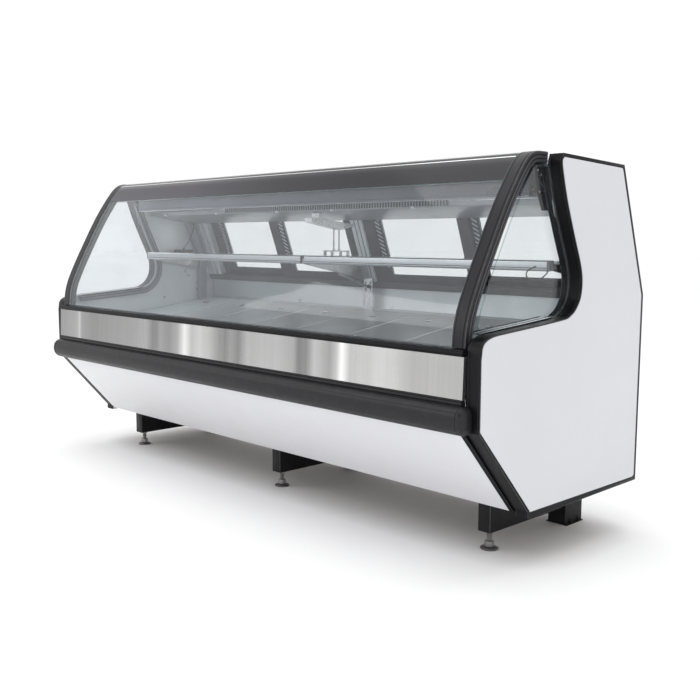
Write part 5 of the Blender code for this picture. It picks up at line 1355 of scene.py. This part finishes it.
# Brackets.
bm = bmesh.new()
plate = round_corners([(0.0930, 0.9170), (0.0930, 0.8980), (0.3780, 0.8450), (0.3900, 0.8450), (0.3900, 0.9170)], {1: 0.006, 2: 0.004, 3: 0.004, 0: 0.002}, 4)
for side, tag, mats in ((1, "right", [M["black_steel"], M["screw"], M["dark_gap"]]), (-1, "left", [M["zinc"], M["screw"], M["dark_gap"]])):
    bm = bmesh.new()
    loft(bm, [[V(side * x, p, q) for p, q in (plate if d == 0 else shrink(plate, d))]
              for x, d in ((1.1756, 0.0005), (1.1761, 0.0), (1.1791, 0.0), (1.1796, 0.0005))], mat=0)
    add_box(bm, (side * 1.1552, side * 1.1766), (0.1305, 0.3895), (0.9134, 0.9169), 0)
    add_box(bm, (side * 1.1776, side * 1.2034), (0.3305, 0.3795), (0.8605, 0.9045), 0)
    for s, z in ((0.341, 0.872), (0.369, 0.872), (0.355, 0.894)):
        add_lathe(bm, [(0.0, 0.0), (0.0050, 0.0), (0.0050, 0.0012), (0.0, 0.0012)], V(side * 1.1777, s, z), (-side, 0, 0), 18, 1)
        add_hex(bm, V(side * 1.1768, s, z), (-side, 0, 0), 0.0070, 0.0, 0.0034, 1)
    # Raised hem, and two bright slots at the front of the right one.
    hem = [(0.0950, 0.9000), (0.3780, 0.8472), (0.3782, 0.8500), (0.0952, 0.9026)]
    loft(bm, [[V(side * 1.1757, p, q) for p, q in hem], [V(side * 1.1748, p, q) for p, q in shrink(hem, 0.0004)]], mat=0)
    if side > 0:
        for s in (0.1020, 0.1110):
            slot = round_corners([(s, 0.9020), (s + 0.0050, 0.9015), (s + 0.0050, 0.9105), (s, 0.9110)], 0.0022, 4)
            loft(bm, [[V(x, p, q) for p, q in (slot if d == 0 else shrink(slot, d))] for x, d in ((1.1790, 0.0), (1.17995, 0.0), (1.17995, 0.0006))], mat=1, cap_mats=(1, 1))
            loft(bm, [[V(x, p, q) for p, q in (slot if d == 0 else shrink(slot, d))] for x, d in ((1.1760, 0.0), (1.17515, 0.0), (1.17515, 0.0006))], mat=1, cap_mats=(1, 1))
    make("bracket_" + tag, bm, mats, bevel=0.0003, segs=1, replaces="shelf_bracket_" + tag)
bm = bmesh.new()
add_box(bm, (-1.1796, -1.1756), (0.2705, 0.3195), (0.9100, 0.9378), 1)
add_box(bm, (-1.1778, -1.1602), (0.2455, 0.3495), (0.9272, 0.9398), 0)
for s in (0.2600, 0.3000, 0.3340):
    add_box(bm, (-1.1782, -1.1598), (s, s + 0.0022), (0.9269, 0.9402), 2)
add_lathe(bm, [(0.0, 0.0), (0.0046, 0.0), (0.0040, 0.0070), (0.0026, 0.0090), (0.0, 0.0090)], V(-1.1650, 0.2960, 0.9392), (0, 0, 1), 18, 0)
make("lamp_connector", bm, [M["rubber"], M["zinc"], M["dark_gap"]], bevel=0.0005, replaces="shelf_bracket_left")
bm = bmesh.new()
add_tube(bm, [V(*p) for p in LEAD_LEFT], 0.0021, 12, 0, 8)
add_lathe(bm, [(0.0, 0.0), (0.0048, 0.0), (0.0048, 0.0040), (0.0030, 0.0070), (0.0, 0.0070)], V(-1.1600, 0.3560, 1.0733), (0, -0.1, -1), 18, 0)
make("lamp_lead_left", bm, [M["rubber"]], angle=50, replaces="shelf_bracket_left")

# Centre bracket: blade, post in its sleeve, hand knob and brace.
hi, lo = slant(0.130, 0.0468), slant(0.030, 0.0468)
bm = bmesh.new()
blade = [(0.0905, 0.9160), (0.0905, 0.8955), (0.4300, 0.8245), (0.4600, 0.8245), (lo[0] - 0.0014, 0.8245), (hi[0] - 0.0004, 0.9160)]
loft(bm, [[V(x, p, q) for p, q in (blade if d == 0 else shrink(blade, d))] for x, d in ((-0.0030, 0.0005), (-0.0025, 0.0), (0.0025, 0.0), (0.0030, 0.0005))])
for side in (1, -1):
    add_prism(bm, [(0.0950, 0.9160), (0.0950, 0.9140), (hi[0] - 0.010, 0.9140), (hi[0] - 0.010, 0.9160)], side * 0.0028, side * 0.0090, 0)
make("centre_blade", bm, [M["zinc"]], angle=30, replaces="shelf_bracket_centre")
bm = bmesh.new()
z0 = deck(0.470) - 0.0013
post_plan = round_corners([(-0.0258, 0.4622), (0.0258, 0.4622), (0.0258, 0.4698), (-0.0258, 0.4698)], 0.0016, 3)
loft(bm, [[V(x, s, z) for x, s in post_plan] for z in (z0, 0.74, 0.8298)])
for z in (0.700, 0.724, 0.780, 0.808):
    for x in (-0.0140, 0.0140):
        slot = round_corners([(x - 0.0030, z - 0.006), (x + 0.0030, z - 0.006), (x + 0.0030, z + 0.006), (x - 0.0030, z + 0.006)], 0.0028, 4)
        loft(bm, [[V(p, 0.4624, q) for p, q in slot], [V(p, 0.4617, q) for p, q in shrink(slot, 0.0004)]], mat=1, cap_mats=(1, 1))
sleeve = round_corners([(-0.0298, 0.4602), (0.0298, 0.4602), (0.0298, 0.4710), (-0.0298, 0.4710)], 0.0022, 4)
z1 = deck(0.471) - 0.0008
loft(bm, [[V(x, s, z) for x, s in (sleeve if d == 0 else shrink(sleeve, d))] for z, d in ((z1, 0.0), (0.7606, 0.0), (0.7618, 0.0012))], mat=0)
for x in (-0.0200, 0.0200):
    add_screw(bm, V(x, 0.4603, 0.745), (0, -1, 0), 0.0036, 2, 1)
brace = [(0.3000, 0.8538), (0.4636, 0.7966), (0.4636, 0.7864), (0.2884, 0.8480)]
loft(bm, [[V(x, p, q) for p, q in (brace if d == 0 else shrink(brace, d))] for x, d in ((-0.0090, 0.0006), (-0.0084, 0.0), (-0.0026, 0.0), (-0.0020, 0.0006))], mat=0)
make("centre_post", bm, [M["zinc"], M["dark_gap"], M["screw"]], angle=30, bevel=0.0, replaces="shelf_bracket_centre")
bm = bmesh.new()
prof = [(0.0, 0.0), (0.0060, 0.0), (0.0078, 0.0020)]
add_lathe(bm, [(0.0, 0.0), (0.0036, 0.0), (0.0036, 0.0030), (0.0070, 0.0036), (0.0079, 0.0050), (0.0079, 0.0100), (0.0068, 0.0128), (0.0030, 0.0138), (0.0, 0.0139)],
          V(0.0090, 0.4640, 0.7920), (0, -1, 0), 24, 0)
for k in range(12):
    a = 2 * math.pi * k / 12
    c = V(0.0090 + 0.00775 * math.cos(a), 0.4590, 0.7920 + 0.00775 * math.sin(a))
    add_lathe(bm, [(0.0, 0.0), (0.0009, 0.0), (0.0009, 0.0050), (0.0, 0.0050)], c, (0, -1, 0), 6, 0)
make("centre_knob", bm, [M["bumper_cap"]], angle=35, replaces="shelf_bracket_centre")

# Canopy stay.
ROD_Y = 0.2740
bm = bmesh.new()
wedge = [(0.1183, 1.0787), (0.1183, 1.0625), (0.2840, 1.0323), (0.3556, 1.0477), (0.3556, 1.0567), (0.1782, 1.0767), (0.1762, 1.0778), (0.1757, 1.0978), (0.1563, 1.0978), (0.1563, 1.0787)]
loft(bm, [[V(x, p, q) for p, q in (wedge if d == 0 else shrink(wedge, d))] for x, d in ((-0.0220, 0.0008), (-0.0212, 0.0), (0.0212, 0.0), (0.0220, 0.0008))], mat=[1, 0, 1])
for side in (1, -1):
    for p, q in ((0.140, 1.0690), (0.300, 1.0460)):
        add_screw(bm, V(side * 0.0219, p, q), (side, 0, 0), 0.0034, 2, 3)
make("stay_housing", bm, [M["stay"], M["trim_bright"], M["screw"], M["dark_gap"]], angle=30, replaces="canopy_stay")
bm = bmesh.new()
for x in (-0.0160, 0.0160):
    add_lathe(bm, [(0.0, 0.0), (0.0039, 0.0), (0.0039, 0.0020), (0.0034, 0.0026), (0.0034, 0.0960), (0.0039, 0.0966), (0.0039, 0.1040), (0.0, 0.1040)],
              V(x, ROD_Y, 0.9455), (0, 0, 1), 20, 0)
    add_hex(bm, V(x, ROD_Y, 0.9478), (0, 0, 1), 0.0105, 0.0, 0.0052, 0)
bar = round_corners([(-0.0750, ROD_Y - 0.0070), (0.0750, ROD_Y - 0.0070), (0.0750, ROD_Y + 0.0070), (-0.0750, ROD_Y + 0.0070)], 0.0030, 4)
loft(bm, [[V(x, s, z) for x, s in (bar if d == 0 else shrink(bar, d))] for z, d in ((0.9426, 0.0005), (0.9431, 0.0), (0.9475, 0.0), (0.9480, 0.0005))])
for x in (-0.070, -0.026, 0.026, 0.070):
    foot = round_corners([(x - 0.0029, ROD_Y - 0.0064), (x + 0.0029, ROD_Y - 0.0064), (x + 0.0029, ROD_Y + 0.0064), (x - 0.0029, ROD_Y + 0.0064)], 0.0008, 2)
    loft(bm, [[V(p, s, z) for p, s in foot] for z in (0.9285, 0.9430)])
    loft(bm, [[V(p, s, z) for p, s in (foot if d == 0 else shrink(foot, d))] for z, d in ((0.9265, 0.0008), (0.9270, -0.0002), (0.9287, -0.0002))], mat=1, cap_mats=(1, 1))
make("stay_foot", bm, [M["zinc"], M["rubber"]], angle=30, replaces="canopy_stay")

# ---------------------------------------------------------------- the legs
BEAM_LOW, TOP = 0.0605, 0.1675
for x, tag in zip(LEG_X, ("left", "centre", "right")):
    node = "leg_" + tag
    bm = bmesh.new()
    ring = round_corners([(x - 0.0249, BEAM_LOW + 0.0001), (x + 0.0249, BEAM_LOW + 0.0001), (x + 0.0249, TOP), (x - 0.0249, TOP)], 0.0035, 5)
    rows = [(-0.0559, 0.0028), (-0.0557, 0.0014), (-0.0550, 0.0004), (-0.0540, 0.0), (0.3590, 0.0)]
    made = [[bm.verts.new(V(p, s, q)) for p, q in (ring if d == 0 else shrink(ring, d))] for s, d in rows]
    n = len(ring)
    for j, (p, q) in enumerate(zip(made, made[1:])):
        for i in range(n):
            bm.faces.new((p[i], p[(i + 1) % n], q[(i + 1) % n], q[i])).material_index = 1 if j < 3 else 0
    # End plate with a pressed outline.
    p = made[0]
    for d, s, m in ((0.0052, -0.0559, 0), (0.0060, -0.0554, 0), (0.0070, -0.0554, 0), (0.0078, -0.0559, 0)):
        q = [bm.verts.new(V(a, s, b)) for a, b in round_corners([(x - 0.0249 + d, BEAM_LOW + 0.0001 + d), (x + 0.0249 - d, BEAM_LOW + 0.0001 + d),
                                                                 (x + 0.0249 - d, TOP - d), (x - 0.0249 + d, TOP - d)], 0.0025, 5)]
        for i in range(n):
            bm.faces.new((p[i], p[(i + 1) % n], q[(i + 1) % n], q[i])).material_index = m
        p = q
    bm.faces.new(p[::-1])
    bm.faces.new(made[-1])
    make("leg_beam_" + tag, bm, [M["black_paint"], M["paint_worn"]], angle=28, replaces=node)
    bm = bmesh.new()
    # Rear foot: folded channel with lips, gusset welds and fixing bolts.
    t = 0.0030
    u = [(x - 0.0350, 0.4620), (x - 0.0350, 0.3600), (x - 0.0348, 0.3572), (x - 0.0320, 0.3570), (x + 0.0320, 0.3570), (x + 0.0348, 0.3572), (x + 0.0350, 0.3600),
         (x + 0.0350, 0.4620), (x + 0.0320, 0.4620), (x + 0.0320, 0.3602), (x - 0.0320, 0.3602), (x - 0.0320, 0.4620)]
    loft(bm, [[V(p, s, z) for p, s in u] for z in (0.0006, 0.08, TOP - 0.0005)])
    for side in (1, -1):
        lip = round_corners([(x + side * 0.0330, 0.3572), (x + side * 0.0429, 0.3572), (x + side * 0.0429, 0.4618), (x + side * 0.0330, 0.4618)], 0.003, 3)
        loft(bm, [[V(p, s, z) for p, s in lip] for z in (0.0, 0.0034)])
        # Gusset ribs on the cheek.
        for s in (0.385, 0.434):
            loft(bm, [[V(x + side * 0.0349, s, 0.0034), V(x + side * 0.0349, s + 0.003, 0.0034), V(x + side * 0.0410, s + 0.003, 0.0034), V(x + side * 0.0410, s, 0.0034)],
                      [V(x + side * 0.0349, s, 0.0240), V(x + side * 0.0349, s + 0.003, 0.0240), V(x + side * 0.0356, s + 0.003, 0.0240), V(x + side * 0.0356, s, 0.0240)]])
    top = round_corners([(x - 0.0369, 0.3562), (x + 0.0369, 0.3562), (x + 0.0369, 0.4948), (x - 0.0369, 0.4948)], 0.002, 3)
    loft(bm, [[V(p, s, z) for p, s in (top if d == 0 else shrink(top, d))] for z, d in ((0.1352, 0.0007), (0.1359, 0.0), (TOP, 0.0))])
    for side in (1, -1):
        for s in (0.375, 0.445):
            add_hex(bm, V(x + side * 0.0349, s, 0.100), (side, 0, 0), 0.0130, -0.0004, 0.0062, 1)
    make("rear_foot_" + tag, bm, [M["black_paint"], M["zinc_dark"]], bevel=0.0005, segs=1, replaces=node)
    # Levelling foot: disc, cone, threaded stem and lock nut.
    bm = bmesh.new()
    add_lathe(bm, [(0.0, 0.0), (0.0280, 0.0), (0.0294, 0.0006), (0.0300, 0.0022), (0.0299, 0.0040), (0.0286, 0.0058), (0.0262, 0.0072), (0.0200, 0.0090), (0.0172, 0.0099),
                   (0.0158, 0.0106), (0.0150, 0.0118), (0.0150, 0.0252), (0.0146, 0.0266), (0.0130, 0.0278), (0.0090, 0.0283), (0.0, 0.0284)],
              V(x, FOOT_Y, 0.0), (0, 0, 1), 40, 0)
    for k in range(16):
        a = 2 * math.pi * k / 16
        c = V(x + 0.0149 * math.cos(a), FOOT_Y + 0.0149 * math.sin(a), 0.0130)
        add_lathe(bm, [(0.0, 0.0), (0.0010, 0.0), (0.0010, 0.0110), (0.0, 0.0116)], c, (0, 0, 1), 6, 0)
    for f in bm.faces:
        if sum(v.co.z for v in f.verts) / len(f.verts) > 0.0104:
            f.material_index = 1
    make("foot_pad_" + tag, bm, [M["foot"], M["hub"]], "levelling_foot_" + tag, angle=30, replaces="levelling_foot_" + tag)
    bm = bmesh.new()
    turns, per, r0, r1, zlo, zhi = 16, 16, 0.0076, 0.0090, 0.0282, 0.0640
    rings = []
    rows = turns * 2
    for j in range(rows + 1):
        z = zlo + (zhi - zlo) * j / rows
        rings.append([V(x + (r1 if j % 2 else r0) * math.cos(2 * math.pi * k / per), FOOT_Y + (r1 if j % 2 else r0) * math.sin(2 * math.pi * k / per), z + 0.0)
                      for k in range(per)])
    rings.append([V(x + 0.0088 * math.cos(2 * math.pi * k / per), FOOT_Y + 0.0088 * math.sin(2 * math.pi * k / per), 0.1178) for k in range(per)])
    # The thread rises as it goes round.
    pitch_z = (zhi - zlo) / turns
    for j, row in enumerate(rings[:-1]):
        if 0 < j < rows:
            rings[j] = [p + Vector((0, 0, pitch_z * (k / per - 0.5) * 0.9)) for k, p in enumerate(row)]
    loft(bm, rings, mat=0)
    add_hex(bm, V(x, FOOT_Y, 0.0), (0, 0, 1), 0.0240, 0.0536, 0.0602, 1)
    make("foot_stem_" + tag, bm, [M["stem"], M["stem"]], "levelling_foot_" + tag, angle=25, replaces="levelling_foot_" + tag)

# ------------------------------------------------------------ rear and inside
bm = bmesh.new()
y0, y1, za, zb = 0.5120, 0.5255, 0.1692, 0.4503
lou = [(0.42, 0.98, 0.215 + 0.024 * k, 0.224 + 0.024 * k) for k in range(8)]
outerp = [(-FULL, za), (FULL, za), (FULL, zb), (-FULL, zb)]


def sheet(y, y_in, mat):
    """Panel with its louvre slots and switch hole, laid out as a grid of cells."""
    xs = sorted({-FULL, FULL, 0.42, 0.98, -0.9130, -0.8870} | {-1.0 + 0.25 * k for k in range(5)})
    zs = sorted({za, zb, 0.3820, 0.4180} | {v for q in lou for v in q[2:]})
    open_at = lambda cx, cz: any(q[0] < cx < q[1] and q[2] < cz < q[3] for q in lou) or (-0.9130 < cx < -0.8870 and 0.3820 < cz < 0.4180)
    grid = {}
    def vert(i, j, s):
        key = (i, j, s)
        if key not in grid:
            grid[key] = bm.verts.new(V(xs[i], s, zs[j]))
        return grid[key]
    nx, nz = len(xs) - 1, len(zs) - 1
    solid = [[not open_at((xs[i] + xs[i + 1]) / 2, (zs[j] + zs[j + 1]) / 2) for j in range(nz)] for i in range(nx)]
    for i in range(nx):
        for j in range(nz):
            if not solid[i][j]:
                continue
            for s in (y, y_in):
                bm.faces.new((vert(i, j, s), vert(i + 1, j, s), vert(i + 1, j + 1, s), vert(i, j + 1, s))).material_index = mat
            for di, dj, a, b in ((-1, 0, (i, j), (i, j + 1)), (1, 0, (i + 1, j), (i + 1, j + 1)), (0, -1, (i, j), (i + 1, j)), (0, 1, (i, j + 1), (i + 1, j + 1))):
                ii, jj = i + di, j + dj
                if not (0 <= ii < nx and 0 <= jj < nz) or not solid[ii][jj]:
                    bm.faces.new((vert(*a, y), vert(*b, y), vert(*b, y_in), vert(*a, y_in))).material_index = 1


sheet(y1, y0, 0)
make("rear_panel_sheet", bm, [M["white_rear"], M["white_edge"]], bevel=0.0008, segs=2, replaces="rear_lower_panel")
bm = bmesh.new()
for xa, xb, zlo, zhi in lou:
    blade = [(0.5228, zhi + 0.0002), (0.5252, zhi - 0.0006), (0.5252, zhi - 0.0030), (0.5172, zlo + 0.0010), (0.5140, zlo + 0.0006), (0.5140, zlo + 0.0020), (0.5176, zlo + 0.0034)]
    loft(bm, [[V(x, p, q) for p, q in blade] for x in (xa + 0.0006, (xa + xb) / 2, xb - 0.0006)])
make("rear_louvres", bm, [M["white_rear"]], bevel=0.0003, segs=1, replaces="rear_lower_panel")
bm = bmesh.new()
for x in (-1.16, -0.58, 0.0, 0.30, 1.16):
    for z in (0.190, 0.432):
        add_screw(bm, V(x, 0.5240, z), (0, 1, 0), 0.0040, 0, 1)
make("rear_screws", bm, [M["screw"], M["dark_gap"]], angle=30, replaces="rear_lower_panel")
bm = bmesh.new()
hole = [(-0.9128, 0.3822), (-0.8872, 0.3822), (-0.8872, 0.4178), (-0.9128, 0.4178)]
for a, b, s in ((-0.0042, 0.0012, 0.5258),):
    outer_ring, inner_ring = round_corners(shrink(hole, -0.0030), 0.003, 4), round_corners(shrink(hole, 0.0008), 0.0012, 4)
    seq = [(outer_ring, 0.5250), (shrink(outer_ring, 0.0006), 0.5262), (inner_ring, 0.5262), (inner_ring, 0.5150), (shrink(inner_ring, -0.0007), 0.5150), (shrink(inner_ring, -0.0007), 0.5250)]
    made = [[bm.verts.new(V(p, d, q)) for p, q in r] for r, d in seq]
    for j in range(len(made)):
        p, q = made[j], made[(j + 1) % len(made)]
        for i in range(len(p)):
            bm.faces.new((p[i], p[(i + 1) % len(p)], q[(i + 1) % len(p)], q[i]))
make("switch_bezel", bm, [M["abs"]], angle=30, replaces="rear_lower_panel")
refine("light_switch", [M["green"]], "rocker", body="light_switch", bevel=0.0007, segs=3, limit=20)
refine("base_pan", [M["zinc_dark"]], "machine_tray", bevel=0.0006, segs=1)
refine("condensing_unit", [M["black_paint"]], "unit_body", bevel=0.0008, segs=2, limit=40)
refine("condenser_fan", [M["fin"]], "fan_wheel", body="condenser_fan", bevel=0.0005, segs=1, limit=40)

# Any solid carried over unchanged keeps its own shape with the finish of its slot.
SLOT_MAT = {"liner": "liner", "black_plastic": "abs", "white_panel": "white", "glass": "glass_side", "stainless": "stainless",
            "black_profile": "profile", "dark_band": "band", "door_frame": "door", "aluminium": "aluminium", "zinc_steel": "zinc",
            "black_steel": "black_paint", "unit_paint": "black_paint"}
SLOT = {p["node"]: p["material_slot"] for p in frame["record"]["subparts"]}
for node, obj in NODES.items():
    if not obj.hide_render:
        for held in obj.material_slots:
            held.material = M[SLOT_MAT[SLOT[node]]]

# -------------------------------------------------------------------- stage
g = Graph("studio_floor")
speck = g.noise(0.8, 3.0, 0.5)
# Painted shadow: the floor is a dark warm grey under and around the case's footprint, paling to near white over 0.24 m
# beyond it, so that the floor runs into the backdrop without a seam.
past_x = g.maths("MAXIMUM", g.maths("SUBTRACT", g.maths("ABSOLUTE", g.axis("X")), 1.10), 0.0)
past_y = g.maths("MAXIMUM", g.maths("SUBTRACT", g.maths("ABSOLUTE", g.maths("SUBTRACT", g.axis("Y"), 0.13)), 0.12), 0.0)
painted_shadow_reach = g.maths("SQRT", g.maths("ADD", g.maths("MULTIPLY", past_x, past_x), g.maths("MULTIPLY", past_y, past_y)))
near = g.blend(g.span(speck, 0.0, 1.0), (0.630, 0.598, 0.586), (0.646, 0.614, 0.602))
g.close(g.shader(g.blend(g.span(painted_shadow_reach, 0.0, 1.0, 0.0, 0.24), near, (0.992, 0.992, 0.992)), g.span(speck, 0.82, 0.92), 0.0,
                 **{"Specular_IOR_Level": 0.1}))
bm = bmesh.new()
side = 60.0
bm.faces.new([bm.verts.new(p) for p in ((-side, -side, 0), (side, -side, 0), (side, side, 0), (-side, side, 0))])
mesh = bpy.data.meshes.new("studio_floor")
bm.to_mesh(mesh)
bm.free()
mesh.materials.append(g.mat)
floor = bpy.data.objects.new("studio_floor", mesh)
floor.location.z = -0.0004
scene.collection.objects.link(floor)

world = bpy.data.worlds.new("studio")
scene.world = world
world.use_nodes = True
back = world.node_tree.nodes["Background"]
back.inputs["Color"].default_value = (1.0, 1.0, 1.0, 1.0)
back.inputs["Strength"].default_value = 1.03


def softbox(name, at, aim, size, power, colour=(1, 1, 1)):
    data = bpy.data.lights.new(name, "AREA")
    data.shape = "RECTANGLE"
    data.size, data.size_y = size
    data.energy = power
    data.color = colour
    obj = bpy.data.objects.new(name, data)
    scene.collection.objects.link(obj)
    obj.location = at
    way = Vector(aim) - Vector(at)
    obj.rotation_euler = way.to_track_quat("-Z", "Y").to_euler()
    return obj


softbox("overhead", (0.0, 0.2, 4.6), (0.0, 0.0, 0.0), (5.0, 4.0), 52.0)
softbox("front_left", (-3.2, -4.2, 2.8), (-0.2, 0.0, 0.6), (2.6, 2.2), 30.0, (1.0, 0.99, 0.98))
softbox("right_side", (5.0, 0.2, 2.4), (1.2, 0.1, 0.7), (2.4, 2.4), 6.0, (0.98, 0.99, 1.0))

scene.view_settings.view_transform = "Standard"
scene.view_settings.look = "None"
if hasattr(scene, "cycles"):
    scene.cycles.transparent_max_bounces = 32
